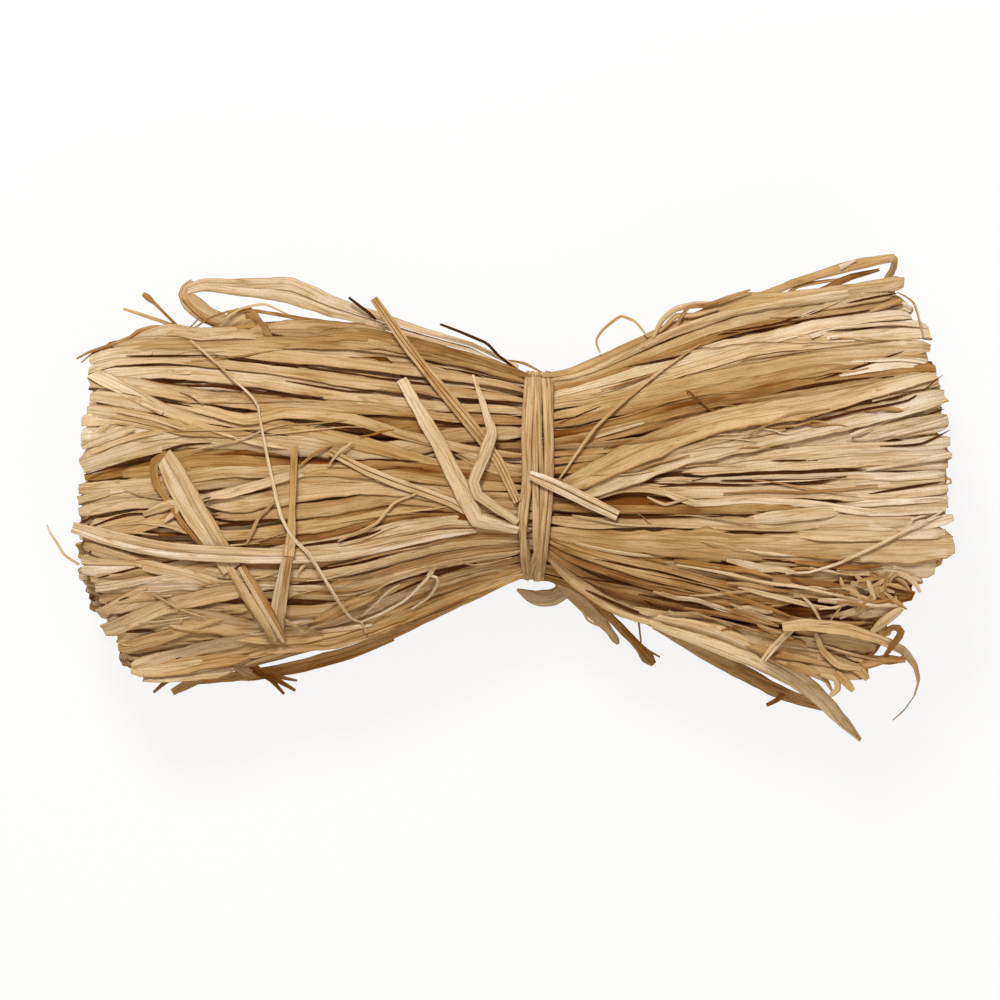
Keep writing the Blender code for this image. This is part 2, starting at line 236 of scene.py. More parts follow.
def reach_at(x, angle):
    """How far the bundle reaches from its centre line at x in this direction."""
    along = (x - outline_x[0]) / OUTLINE_STEP
    around = (angle / (2 * math.pi) * OUTLINE_ANGLES) % OUTLINE_ANGLES
    i = np.clip(along.astype(int), 0, len(outline_x) - 2)
    j = around.astype(int)
    s, t = along - i, around - j
    k = (j + 1) % OUTLINE_ANGLES
    near = outline_reach[i, j] * (1 - t) + outline_reach[i, k] * t
    far = outline_reach[i + 1, j] * (1 - t) + outline_reach[i + 1, k] * t
    return near * (1 - s) + far * s


def bundle_point(x, angle, depth, share=1.0):
    """Points of the bundle: share of the way from its centre line to its skin, less a depth."""
    reach = reach_at(x, angle) * share - depth
    y = np.interp(x, outline_x, outline_centre[:, 0]) + reach * np.cos(angle)
    z = np.interp(x, outline_x, outline_centre[:, 1]) + reach * np.sin(angle)
    return np.stack([x, y, z], axis=-1)


END_SHARES = np.array([0.03, 0.2, 0.4, 0.6, 0.8, 0.96])
END_ANGLES = 48
END_STATION = 118 * MM  # the section whose places are followed out to the ends
SHORTEST_END = 100 * MM


def felt_ends(side):
    """Where the sheaves end on one side, on a grid of direction and share of the reach."""
    station = np.full(END_ANGLES, side * END_STATION)
    angles = np.arange(END_ANGLES) * 2 * math.pi / END_ANGLES
    ends = np.full((len(END_SHARES), END_ANGLES), np.nan)
    for i, share in enumerate(END_SHARES):
        for nudge in (-0.03, 0.0, 0.03):
            points = bundle_point(station, angles + nudge, 0.0, share - nudge * 0.3)
            for j, point in enumerate(points):
                start = (side * OUTSIDE, point[1], max(point[2], 1 * MM))
                met = felt(sheaf_tree, start, (-side, 0, 0))
                if met is not None and met.x * side > SHORTEST_END:
                    ends[i, j] = side * np.fmax(side * ends[i, j], side * met.x)
        known = ~np.isnan(ends[i])
        ends[i] = np.interp(angles, angles[known], ends[i, known], period=2 * math.pi)
    return ends


bundle_ends = {-1: felt_ends(-1), 1: felt_ends(1)}


def end_at(side, angle, share):
    """Where a strip of this direction and share ends."""
    row = float(np.interp(share, END_SHARES, np.arange(len(END_SHARES))))
    i = min(int(row), len(END_SHARES) - 2)
    around = (angle / (2 * math.pi) * END_ANGLES) % END_ANGLES
    j = int(around)
    k = (j + 1) % END_ANGLES
    column = bundle_ends[side][:, j] * (1 - around + j) + bundle_ends[side][:, k] * (around - j)
    return float(column[i] * (1 - row + i) + column[i + 1] * (row - i))


# A strip of raffia is one side of a young palm leaf: a ribbon of a few millimetres, paper thin,
# which dries with folds along its length. Geometry Nodes sweep it along a rail.

SHEET = 0.24 * MM  # thickness: two or three layers of leaf where it is folded
FOLD_DEPTH = 0.34 * MM  # of the sharp lengthwise folds, which lie side by side across a strip
FOLDED = ((0.15, 0.55), (0.45, 0.3), (1.0, 0.15))  # shares of that depth, and of the strips with it
FOLD_LENGTH = 34 * MM
EDGE_LENGTH = 7 * MM  # along an edge, from one of its narrow places to the next
SHARP_BEND = 0.24  # radians: a bend past this is a crease, and a lesser one is smooth
TABLE_GAP = 0.1 * MM


def work_out(tree, values, rows):
    """Adds the nodes that work out the rows' values. A row gives the value's name, what makes
    it, and what goes into that: numbers, and the names of values that come before."""
    kinds = {"PLACE": "ShaderNodeCombineXYZ", "NOISE": "ShaderNodeTexNoise", "RANGE": "ShaderNodeMapRange"}
    for name, operation, *inputs in rows:
        settings = {} if operation in kinds else {"operation": operation}
        links = {f"in{i}": values.get(value, value) for i, value in enumerate(inputs)}
        values[name] = add_node(tree, kinds.get(operation, "ShaderNodeMath"), settings, **links).outputs[0]


# Round the section, ring counts its corners. Across runs from 1 to -1 over the face and back
# along the underside, and layer is 1 on the face and -1 on the underside.
SECTION_ROWS = (
    ("half", "DIVIDE", "Sides", 2.0),
    ("quarter", "DIVIDE", "half", 2.0),
    ("past_half", "SUBTRACT", "ring", "half"),
    ("off_half", "ABSOLUTE", "past_half"),
    ("turned", "DIVIDE", "off_half", "quarter"),
    ("across", "SUBTRACT", "turned", 1.0),
    ("to_half", "SUBTRACT", "half", "ring"),
    ("on_face", "MULTIPLY", "to_half", "ring"),
    ("layer", "SIGN", "on_face"),
    # The strip's edges are uneven.
    ("edge_x", "MULTIPLY", "across", 0.9),
    ("edge_y", "DIVIDE", "along", EDGE_LENGTH),
    ("edge_z", "MULTIPLY", "strip", 3.1),
    ("edge_at", "PLACE", "edge_x", "edge_y", "edge_z"),
    ("ragged", "NOISE", "edge_at", 0.0, 1.0, 1.0, 0.5),
    ("uneven", "MULTIPLY_ADD", "ragged", 0.5, 0.75),
    ("wide", "MULTIPLY", "across", "width"),
    ("half_wide", "MULTIPLY", "wide", 0.5),
    ("aside", "MULTIPLY", "half_wide", "uneven"),
    # Its folds run along it and change slowly on the way.
    ("columns", "MULTIPLY", "half", 2.7),
    ("fold_x", "MULTIPLY", "across", "columns"),
    ("fold_y", "DIVIDE", "along", "Fold Length"),
    ("fold_z", "MULTIPLY", "strip", 7.31),
    ("fold_at", "PLACE", "fold_x", "fold_y", "fold_z"),
    ("wave", "NOISE", "fold_at", 0.0, 1.0, 1.0, 0.5),
    ("swing", "SUBTRACT", "wave", 0.5),
    ("full_swing", "MULTIPLY", "swing", 3.6),
    ("deep", "MULTIPLY", "full_swing", "Fold Depth"),
    ("fold", "MULTIPLY", "deep", "folded"),
    # It is bowed, bent along one crease, and as thick as the sheet.
    ("square", "MULTIPLY", "across", "across"),
    ("level_bow", "SUBTRACT", "square", 0.35),
    ("curled", "MULTIPLY", "level_bow", "curl"),
    ("bow", "MULTIPLY", "curled", "width"),
    ("past_crease", "SUBTRACT", "across", "crease_at"),
    ("off_crease", "ABSOLUTE", "past_crease"),
    ("level_bend", "SUBTRACT", "off_crease", 0.5),
    ("creased", "MULTIPLY", "level_bend", "crease"),
    ("bend", "MULTIPLY", "creased", "width"),
    ("thick", "MULTIPLY", "layer", "Thickness"),
    ("sheet", "MULTIPLY", "thick", 0.5),
    ("bowed", "ADD", "fold", "bow"),
    ("bent", "ADD", "bend", "sheet"),
    ("rise", "ADD", "bowed", "bent"),
)


def strip_tree():
    """Sweeps a folded ribbon along each rail of the mesh it is given. The rail's points carry
    the way across the strip, the way out of its face, its width, its curl and its number."""
    tree = bpy.data.node_groups.new("raffia_strips", "GeometryNodeTree")
    sockets = (("Geometry", "Geometry", None), ("Sides", "Int", 12), ("Thickness", "Float", SHEET),
               ("Fold Depth", "Float", FOLD_DEPTH), ("Fold Length", "Float", FOLD_LENGTH),
               ("Material", "Material", None))
    for name, kind, value in sockets:
        socket = tree.interface.new_socket(name=name, in_out="INPUT", socket_type="NodeSocket" + kind)
        if value is not None:
            socket.default_value = value
    tree.interface.new_socket(name="Geometry", in_out="OUTPUT", socket_type="NodeSocketGeometry")
    given = tree.nodes.new("NodeGroupInput").outputs
    values = {name: given[name] for name, kind, value in sockets}

    rails = add_node(tree, "GeometryNodeMeshToCurve", in0=given["Geometry"]).outputs[0]
    circle = add_node(tree, "GeometryNodeCurvePrimitiveCircle", {"mode": "RADIUS"},
                      Resolution=given["Sides"]).outputs[0]
    stored = {"data_type": "FLOAT", "domain": "POINT"}
    corner = tree.nodes.new("GeometryNodeInputIndex").outputs[0]
    profile = add_node(tree, "GeometryNodeStoreNamedAttribute", stored, Geometry=circle, Name="ring",
                       Value=corner).outputs[0]
    swept = add_node(tree, "GeometryNodeCurveToMesh", Curve=rails, Profile_Curve=profile,
                     Fill_Caps=True).outputs[0]

    carried = {"FLOAT": ("ring", "width", "strip", "along", "folded", "curl", "crease", "crease_at"),
               "FLOAT_VECTOR": ("side", "face", "rail")}
    for data_type, names in carried.items():
        for name in names:
            values[name] = add_node(tree, "GeometryNodeInputNamedAttribute", {"data_type": data_type},
                                    Name=name).outputs[0]
    work_out(tree, values, SECTION_ROWS)
    position = values["rail"]
    for way, length in (("side", "aside"), ("face", "rise")):
        offset = add_node(tree, "ShaderNodeVectorMath", {"operation": "SCALE"}, in0=values[way],
                          in3=values[length]).outputs[0]
        position = add_node(tree, "ShaderNodeVectorMath", {"operation": "ADD"}, in0=position,
                            in1=offset).outputs[0]
    shaped = add_node(tree, "GeometryNodeSetPosition", Geometry=swept, Position=position).outputs[0]
    shaped = add_node(tree, "GeometryNodeStoreNamedAttribute", stored, Geometry=shaped, Name="across",
                      Value=values["across"]).outputs[0]
    smooth = add_node(tree, "GeometryNodeSetShadeSmooth", Geometry=shaped).outputs[0]
    bend = tree.nodes.new("GeometryNodeInputMeshEdgeAngle").outputs[0]
    sharp_bend = add_node(tree, "FunctionNodeCompare", {"data_type": "FLOAT", "operation": "GREATER_THAN"},
                          in0=bend, in1=SHARP_BEND).outputs[0]
    sharp = add_node(tree, "GeometryNodeSetShadeSmooth", {"domain": "EDGE"}, Geometry=smooth,
                     Selection=sharp_bend, Shade_Smooth=False).outputs[0]
    realized = add_node(tree, "GeometryNodeRealizeInstances", Geometry=sharp).outputs[0]
    finished = add_node(tree, "GeometryNodeSetMaterial", Geometry=realized,
                        Material=given["Material"]).outputs[0]
    add_node(tree, "NodeGroupOutput", in0=finished)
    return tree


strips_tree = strip_tree()
strip_dice = np.random.default_rng(5)
RAIL_NUMBERS = ("width", "curl", "crease", "crease_at", "along", "tone", "tint", "strip", "folded")


def unit(vectors):
    """The vectors' directions, each one long."""
    return vectors / np.maximum(np.linalg.norm(vectors, axis=-1, keepdims=True), 1e-12)


def rail(points, side, width, curl=0.0, roll=0.0, tone=None, crease=None, tint=None):
    """One strip's middle line with the way across it at each point, in metres. The roll turns
    it about its run, in radians. The tone says how pale it is, from 0 to 1, and the tint how
    brown, down to -1 for the greenish leaf of a strip dried in the shade."""
    points = np.asarray(points, float)
    count = len(points)
    run = unit(np.gradient(points, axis=0))
    side = unit(side - run * np.sum(side * run, axis=1, keepdims=True))
    face = np.cross(side, run)
    turn = np.broadcast_to(roll, count)[:, None]
    turned = side * np.cos(turn) - face * np.sin(turn)
    steps = np.linalg.norm(np.diff(points, axis=0), axis=1)
    along = np.concatenate([[0.0], np.cumsum(steps)])
    crease = strip_dice.normal(0, 0.09) if crease is None else crease
    sway = strip_dice.uniform(-0.4, 0.4) + 0.25 * np.sin(along / (30 * MM) + strip_dice.uniform(0, 6))
    return {
        "rail": points,
        "side": turned,
        "face": np.cross(turned, run),
        "width": np.broadcast_to(width, count).astype(float),
        "curl": np.broadcast_to(curl, count).astype(float),
        "crease": np.full(count, float(crease)),
        "crease_at": sway,
        "along": along,
        "tone": strip_dice.uniform(0, 1) if tone is None else tone,
        "tint": strip_dice.normal(0, 0.35) if tint is None else tint,
        "strip": strip_dice.uniform(0, 50),
        "folded": strip_dice.choice([depth for depth, _ in FOLDED], p=[share for _, share in FOLDED]),
    }


def rails_mesh(name, rails):
    """These rails as one mesh of edges, whose points carry what the strips' tree reads."""
    counts = [len(r["rail"]) for r in rails]
    starts = np.concatenate([[0], np.cumsum(counts)[:-1]])
    edges = np.concatenate([np.arange(s, s + n - 1) for s, n in zip(starts, counts)])
    mesh = bpy.data.meshes.new(name + "_rails")
    mesh.vertices.add(sum(counts))
    mesh.vertices.foreach_set("co", np.concatenate([r["rail"] for r in rails]).ravel())
    mesh.edges.add(len(edges))
    mesh.edges.foreach_set("vertices", np.stack([edges, edges + 1], 1).ravel())
    for key in ("rail", "side", "face"):
        layer = mesh.attributes.new(key, "FLOAT_VECTOR", "POINT")
        layer.data.foreach_set("vector", np.concatenate([r[key] for r in rails]).ravel())
    numbers = {key: [r[key] for r in rails] for key in RAIL_NUMBERS}
    numbers["row"] = range(len(rails))
    for key, values in numbers.items():
        layer = mesh.attributes.new(key, "FLOAT", "POINT")
        spread_out = [np.broadcast_to(value, count) for value, count in zip(values, counts)]
        layer.data.foreach_set("value", np.concatenate(spread_out).astype(float))
    mesh.update()
    return mesh


def sweep(name, rails, material, sides=12, thickness=SHEET, fold=FOLD_DEPTH):
    """Makes one plain mesh of the strips on these rails."""
    mesh = rails_mesh(name, rails)
    holder = bpy.data.objects.new(name, mesh)
    scene.collection.objects.link(holder)
    modifier = holder.modifiers.new("strips", "NODES")
    modifier.node_group = strips_tree
    values = {"Sides": sides, "Thickness": thickness, "Fold Depth": fold, "Material": material}
    for item in strips_tree.interface.items_tree:
        if item.in_out == "INPUT" and item.name in values:
            modifier[item.identifier] = values[item.name]
    graph = bpy.context.evaluated_depsgraph_get()
    made = bpy.data.meshes.new_from_object(holder.evaluated_get(graph), depsgraph=graph)
    holder.modifiers.clear()
    holder.data = made
    made.name = name
    bpy.data.meshes.remove(mesh)
    lay_on_table(made)
    bake_rows(made, len(rails), sides, max(r["along"][-1] for r in rails))
    return holder


def lay_on_table(mesh):
    """Nothing reaches below the table: what would is pressed flat on it."""
    places = np.empty(len(mesh.vertices) * 3, np.float32)
    mesh.vertices.foreach_get("co", places)
    places = places.reshape(-1, 3)
    places[:, 2] = np.maximum(places[:, 2], TABLE_GAP)
    mesh.vertices.foreach_set("co", places.ravel())


def bake_rows(mesh, rows, sides, longest):
    """A UV map for baking, in which each strip is one long row of its own."""
    def values(name):
        found = np.empty(len(mesh.vertices), np.float32)
        mesh.attributes[name].data.foreach_get("value", found)
        return found

    corner_vertex = np.empty(len(mesh.loops), np.int32)
    mesh.loops.foreach_get("vertex_index", corner_vertex)
    sizes = np.empty(len(mesh.polygons), np.int32)
    mesh.polygons.foreach_get("loop_total", sizes)
    face_of = np.repeat(np.arange(len(sizes)), sizes)
    ring = values("ring")[corner_vertex]
    highest = np.zeros(len(sizes))
    lowest = np.full(len(sizes), float(sides))
    np.maximum.at(highest, face_of, ring)
    np.minimum.at(lowest, face_of, ring)
    wraps = (highest - lowest > sides / 2)[face_of] & (sizes == 4)[face_of]
    ring = np.where(wraps & (ring < sides / 2), ring + sides, ring)
    u = values("along")[corner_vertex] / longest * 0.998 + 0.001
    cap = (sizes > 4)[face_of]
    u = np.where(cap, np.clip(u + (ring / sides - 0.5) * 0.002, 0, 1), u)
    v = (values("row")[corner_vertex] + 0.04 + 0.92 * ring / sides) / rows
    layer = mesh.uv_layers.new(name="OFBake")
    layer.data.foreach_set("uv", np.stack([u, v], 1).astype(np.float32).ravel())
    for name in ("ring", "row", "rail", "side", "face", "curl", "crease", "crease_at", "folded"):
        if name in mesh.attributes:
            mesh.attributes.remove(mesh.attributes[name])


# Dried raffia: matt straw with hardly any sheen; thin brown crease lines and browner edges, partly
# the leaf's own colour and partly painted shade; fine veins; paler and browner stretches.
# A pattern's row gives the width and the length of a feature in millimetres, how fine its
# detail is, and a shift that keeps it apart from the others.
RAFFIA_PATTERNS = (
    ("veins", 0.34, 30, 3.0, 0.0),
    ("weave", 0.45, 0.9, 1.0, 83.0),
    ("bands", 1.6, 60, 2.0, 11.0),
    ("patches", 8, 20, 2.0, 23.0),
    ("scars", 0.8, 9, 2.0, 37.0),
    ("long_lines", 2.4, 55, 1.0, 51.0),
    ("short_lines", 1.5, 38, 1.0, 67.0),
)
RAFFIA_ROWS = (
    # Thin lines run where the two line patterns pass their middle value.
    ("long_past", "SUBTRACT", "long_lines", 0.5),
    ("long_off", "ABSOLUTE", "long_past"),
    ("long_creases", "RANGE", "long_off", 0.0, 0.032, 1.0, 0.0),
    ("short_past", "SUBTRACT", "short_lines", 0.5),
    ("short_off", "ABSOLUTE", "short_past"),
    ("short_creases", "RANGE", "short_off", 0.0, 0.03, 1.0, 0.0),
    ("short_fainter", "MULTIPLY", "short_creases", 0.8),
    ("creases", "MAXIMUM", "long_creases", "short_fainter"),
    # The tone varies in bands and patches.
    ("band_tone", "RANGE", "bands", 0.3, 0.7, -0.07, 0.07),
    ("banded", "ADD", "tone", "band_tone"),
    ("patch_tone", "RANGE", "patches", 0.3, 0.7, -0.13, 0.13),
    ("all_tones", "ADD", "banded", "patch_tone"),
    # Veins, scars and weave shade it; creases and edges darken it, partly with painted shade.
    ("vein_shade", "RANGE", "veins", 0.3, 0.7, 0.93, 1.03),
    ("scar_shade", "RANGE", "scars", 0.62, 0.78, 1.0, 0.72),
    ("scarred", "MULTIPLY", "vein_shade", "scar_shade"),
    ("weave_shade", "RANGE", "weave", 0.3, 0.7, 0.94, 1.05),
    ("woven", "MULTIPLY", "scarred", "weave_shade"),
    ("crease_shade", "MULTIPLY_ADD", "creases", -0.34, 1.0),
    ("lined", "MULTIPLY", "woven", "crease_shade"),
    ("edge_place", "ABSOLUTE", "across"),
    ("edges", "RANGE", "edge_place", 0.86, 1.0, 0.0, 1.0),
    ("edge_shade", "MULTIPLY_ADD", "edges", -0.5, 1.0),
    ("shade", "MULTIPLY", "lined", "edge_shade"),
    # What is darker is browner, and so is what has more tint.
    ("less_green", "POWER", "shade", 1.35),
    ("green_tint", "MULTIPLY_ADD", "tint", -0.09, 1.0),
    ("green", "MULTIPLY", "less_green", "green_tint"),
    ("less_blue", "POWER", "shade", 2.1),
    ("blue_tint", "MULTIPLY_ADD", "tint", -0.26, 1.0),
    ("blue", "MULTIPLY", "less_blue", "blue_tint"),
    ("roughness", "RANGE", "veins", 0.3, 0.7, 0.74, 0.9),
    # Veins, bands and weave stand up, and creases lie deeper.
    ("ridges", "MULTIPLY_ADD", "veins", 0.25, "bands"),
    ("grooves", "MULTIPLY", "creases", 0.4),
    ("grooved", "SUBTRACT", "ridges", "grooves"),
    ("relief", "MULTIPLY_ADD", "weave", 0.25, "grooved"),
)
RELIEF = 0.14 * MM
SHEEN = 0.06  # specular level: dry fibre hardly shines, and a smooth surface has 0.5


def raffia_material(name, colours):
    """Raffia whose tones run through these hex colours, from the darkest to the palest."""
    material = bpy.data.materials.new(name)
    material.use_nodes = True
    tree = material.node_tree
    shader = tree.nodes["Principled BSDF"]
    values = {key: add_node(tree, "ShaderNodeAttribute", {"attribute_name": key}).outputs["Fac"]
              for key in ("across", "width", "along", "strip", "tone", "tint")}
    work_out(tree, values, (("wide", "MULTIPLY", "across", "width"), ("aside", "MULTIPLY", "wide", 0.5)))
    for pattern, wide, long, detail, shift in RAFFIA_PATTERNS:
        work_out(tree, values, (
            ("x", "MULTIPLY", "aside", 1 / (wide * MM)),
            ("y", "MULTIPLY", "along", 1 / (long * MM)),
            ("z", "MULTIPLY_ADD", "strip", 3.7, shift),
            ("at", "PLACE", "x", "y", "z"),
            (pattern, "NOISE", "at", 0.0, 1.0, detail, 0.6),
        ))
    work_out(tree, values, RAFFIA_ROWS)
    values["all_tones"].node.use_clamp = True
    ramp = add_node(tree, "ShaderNodeValToRGB", Fac=values["all_tones"])
    stops = ramp.color_ramp.elements
    for i, colour in enumerate(colours):
        at = i / (len(colours) - 1)
        stop = stops[i] if i < 2 else stops.new(at)
        stop.position = at
        stop.color = hex_colour(colour)
    stain = add_node(tree, "ShaderNodeCombineColor", Red=values["shade"], Green=values["green"],
                     Blue=values["blue"]).outputs[0]
    mixed = add_node(tree, "ShaderNodeMix", {"data_type": "RGBA", "blend_type": "MULTIPLY"}, in0=1.0,
                     in6=ramp.outputs["Color"], in7=stain).outputs[2]
    bump = add_node(tree, "ShaderNodeBump", Strength=1.0, Distance=RELIEF,
                    Height=values["relief"]).outputs[0]
    tree.links.new(mixed, shader.inputs["Base Color"])
    tree.links.new(values["roughness"], shader.inputs["Roughness"])
    tree.links.new(bump, shader.inputs["Normal"])
    shader.inputs["Specular IOR Level"].default_value = SHEEN
    return material


RAFFIA_TONES = ("#784614", "#aa8250", "#c4a679", "#d6bf9b", "#e7dac5")
bundle_raffia = raffia_material("dried_raffia", RAFFIA_TONES)


# Where the strips run: drawn together in the tie, and loose towards their folded ends.
TIE_X = 13 * MM
WAIST_HALF = 55 * MM
WAIST_WIDTH = 0.55  # a strip's width in the tie, as a share of its width at the ends
END_ROUND = 13 * MM
END_DROP = 3.4 * MM  # how far a strip on the skin dips towards the fold at its end
UNDER_TOP = 1.7 * MM  # how far the strips at the top lie below those laid over them
LEAST_DEPTH = 0.1 * MM
STRIP_CLEAR = 0.35 * MM  # the least height of a strip's middle line above the table
INNER_DEPTH = 2.4 * MM  # strips below this are painted darker and browner: painted shade of the bundle's depths
# How far right the strips reach at the front corner, where they are torn: x at each y.
FRONT_CORNER_Y = np.array([-62, -55, -42, -37, -32, -27, -22, -17]) * MM
FRONT_CORNER_X = np.array([118, 127, 134, 137, 140, 145, 151, 160]) * MM
MOST_TONE = 0.9
CLOSE_RUN = 16 * MM  # the length at each end in which a strip's stations lie closer together
drift_dice = np.random.default_rng(3)
DRIFT_WAVES = [  # size, length, turns round the bundle and phase
    (size * MM, drift_dice.uniform(150, 420) * MM, turns, drift_dice.uniform(0, 6.3))
    for size, turns in ((1.1, 2), (0.9, 3), (0.7, 5), (0.5, 7), (0.4, 11), (0.3, 16))
]


def spread_at(x):
    """0 in the tie and 1 where the strips lie loose."""
    return np.clip(np.abs(x - TIE_X) / WAIST_HALF, 0, 1) ** 0.8


def painted_light_and_shade(x):
    """How much paler a strip is painted at x: painted light towards its ends, painted shade by the tie."""
    return np.interp(np.abs(x) / MM, (15, 60, 95, 118, 142), (-0.19, -0.14, -0.08, 0.0, 0.13))


def drift_at(x, angle):
    """How far the strips of one direction drift round the bundle at x, together."""
    total = np.zeros_like(x)
    for size, length, turns, phase in DRIFT_WAVES:
        total += size * np.sin(2 * math.pi * x / length + turns * angle + phase)
    return total * spread_at(x)


def wave(x, rng, size, shortest, longest):
    """A slow random wave along the bundle."""
    total = np.zeros_like(x)
    for _ in range(2):
        total += np.sin(2 * math.pi * x / rng.uniform(shortest, longest) + rng.uniform(0, 6.3))
    return total * size / 1.4


def kinks(x, rng, size, spacing):
    """A random wander along the bundle with a slight bend every so often."""
    places = np.arange(-0.17, 0.17, spacing)
    places = places + rng.uniform(-0.3, 0.3, len(places)) * spacing
    return np.interp(x, places, rng.normal(0, size, len(places)))


def run_of(left, right, step, end_step):
    """Stations between two places, closer together near both ends."""
    near = np.arange(left, left + CLOSE_RUN, end_step)
    far = np.arange(right, right - CLOSE_RUN, -end_step)[::-1]
    count = max(int((far[0] - near[-1]) / step), 2)
    return np.concatenate([near, np.linspace(near[-1], far[0], count + 1)[1:-1], far])


def turned_back(x, angle, depth, side, radius, tail, slant, outward):
    """Adds the fold at one end and the length that runs back under the strip, or over it."""
    last = -1 if side > 0 else 0
    turn = np.linspace(0, math.pi, 6)[1:]
    way = -1 if outward else 1
    arc_x = x[last] + side * radius * np.sin(turn)
    arc_depth = depth[last] + way * radius * (1 - np.cos(turn))
    back = np.linspace(0, 1, max(int(tail / (4 * MM)), 3) + 1)[1:]
    new_x = np.concatenate([arc_x, x[last] - side * tail * back])
    new_depth = np.concatenate([arc_depth, arc_depth[-1] + way * back * 0.5 * MM])
    new_angle = angle[last] + np.concatenate([slant * 0.1 * turn / math.pi, slant * (0.1 + 0.9 * back)])
    if side > 0:
        return (np.concatenate([x, new_x]), np.concatenate([angle, new_angle]),
                np.concatenate([depth, new_depth]))
    return (np.concatenate([new_x[::-1], x]), np.concatenate([new_angle[::-1], angle]),
            np.concatenate([new_depth[::-1], depth]))


def end_dip(x, end, side, drop):
    """How far a strip has dipped below its level at x on the way to its end."""
    near = np.clip(1 - (end - x) * side / END_ROUND, 0, 1)
    return drop * (1 - np.sqrt(1 - 0.98 * near**2))


def pinched(far):
    """A strip's share of its width at this way from its fold, where it is drawn together."""
    return 1 - 0.34 * np.clip(1 - far / (4 * MM), 0, 1) ** 2


def bundle_rail(x, angle, depth, share, width, curl, roll, tone, tint):
    """A rail through these places of the bundle, with the way across it round the bundle."""
    points = bundle_point(x, angle, depth, share)
    points[:, 2] = np.maximum(points[:, 2], STRIP_CLEAR)
    nudge = 0.02
    side = bundle_point(x, angle + nudge, depth, share) - bundle_point(x, angle - nudge, depth, share)
    # The tone carries painted light towards the ends and painted shade by the tie.
    return rail(points, side, width, curl, roll, np.minimum(tone + painted_light_and_shade(x), MOST_TONE), tint=tint)


FIRST_RUN = (-142 * MM, 150 * MM)  # a strip's run before its ends are fitted to the sheaves
ENDS_SHORT = (2.2, 1.0)  # how far short of the sheaves' ends the folds lie: usual and spread


def strip_run(rng, angle, share, step, end_step, radius):
    """The stations of one strip along the bundle, and its direction round it at each. It drifts
    with its neighbours, wanders a little on its own, and leans to one side past the tie."""
    x = run_of(*FIRST_RUN, step, end_step)
    reach = reach_at(x, np.full_like(x, angle)) * share
    loose = spread_at(x)
    aside = drift_at(x, angle) + wave(x, rng, 0.7 * MM, 160 * MM, 400 * MM) * loose
    aside += kinks(x, rng, 0.45 * MM, 21 * MM) * loose
    for side in (-1, 1):
        slant = rng.normal(0, rng.choice([3.2, 9.0], p=[0.7, 0.3])) * MM
        aside += np.clip((x - TIE_X) * side / (130 * MM), 0, None) * slant
    angles = angle + aside / reach
    for side, last in ((-1, 0), (1, -1)):
        end = end_at(side, angles[last], min(share * (0.72 + 0.26 * math.cos(angles[last]) ** 2), 0.96))
        if side > 0:
            y = bundle_point(x[-1:], angles[-1:], np.zeros(1), share)[0, 1]
            end = min(end, np.interp(y, FRONT_CORNER_Y, FRONT_CORNER_X))
        end += side * rng.normal(-ENDS_SHORT[0], ENDS_SHORT[1]) * MM - side * radius
        wing = (x - TIE_X) * side > 0
        x[wing] = TIE_X + (x[wing] - TIE_X) * (end - TIE_X) / (x[last] - TIE_X)
    return x, angles, loose


def strip_depths(rng, x, angle, depth, share, loose):
    """How far below the skin a strip lies at its stations."""
    depths = depth * (0.5 + 0.5 * loose) + wave(x, rng, 0.45 * MM, 60 * MM, 200 * MM)
    depths += kinks(x, rng, 0.3 * MM, 17 * MM) * loose
    drop = END_DROP if share == 1 else 0.0
    depths = np.maximum(depths, LEAST_DEPTH)
    depths += UNDER_TOP * float(np.clip((math.sin(angle) - 0.25) / 0.3, 0, 1))
    for side, end in ((-1, x[0]), (1, x[-1])):
        depths = depths + end_dip(x, end, side, drop)
    return depths


def strip_roll(rng, x):
    """How a strip is turned about its run. One in three is turned over somewhere."""
    roll = rng.normal(0, 0.20) + kinks(x, rng, 0.20, 30 * MM)
    if rng.uniform() < 0.3:
        twist_at = TIE_X + rng.choice([-1, 1]) * rng.uniform(30, 115) * MM
        twist = np.clip((x - twist_at) / (rng.uniform(9, 18) * MM) + 0.5, 0, 1)
        roll = roll + math.pi * (3 * twist**2 - 2 * twist**3)
    return roll


def bundle_strip(rng, angle, depth, share, width, step, end_step, outward=0.0):
    """One strip of the bundle. The depth is in metres below the skin."""
    radius = rng.uniform(0.35, 1.0) * MM
    x, angles, loose = strip_run(rng, angle, share, step, end_step, radius)
    depths = strip_depths(rng, x, angle, depth, share, loose)
    for side in (-1, 1):
        tail = rng.uniform(10, 30) * MM
        slant = rng.normal(0, 0.07)
        over = rng.uniform() < outward
        x, angles, depths = turned_back(x, angles, depths, side, radius, tail, slant, over)
    loose = spread_at(x)
    widths = width * (WAIST_WIDTH + (1 - WAIST_WIDTH) * loose) * (1 + kinks(x, rng, 0.13, 25 * MM))
    widths = widths * pinched(np.minimum(x - x.min(), x.max() - x))
    curl = rng.uniform(-0.10, 0.18) + 0.10 * (1 - loose)
    roll = strip_roll(rng, x)
    # Strips inside the bundle and below the outer layer are painted darker and browner, less so towards the
    # ends: painted shade of the bundle's depths.
    inward = 0.0 if share == 1 and depth < INNER_DEPTH else 1.0
    inward = inward * np.interp(np.abs(x) / MM, (104, 126), (1.0, 0.1))
    # Strips towards the front of the right half are browner and darker.
    torn = 2 * np.clip(-math.cos(angle) - 0.25, 0, 0.5) * np.clip(x / (80 * MM), 0, 1)
    tint = rng.normal(0.1, 0.35) + 2.0 * inward + 1.1 * torn
    # The tone is raised on the bundle's back and front sides: painted light on the sides.
    tone = np.clip(rng.normal(0.56, 0.2) + 0.12 * math.cos(angle) ** 6, 0, 1) - 0.24 * inward - 0.26 * torn
    return bundle_rail(x, angles, depths, share, widths, curl, roll, tone, tint)


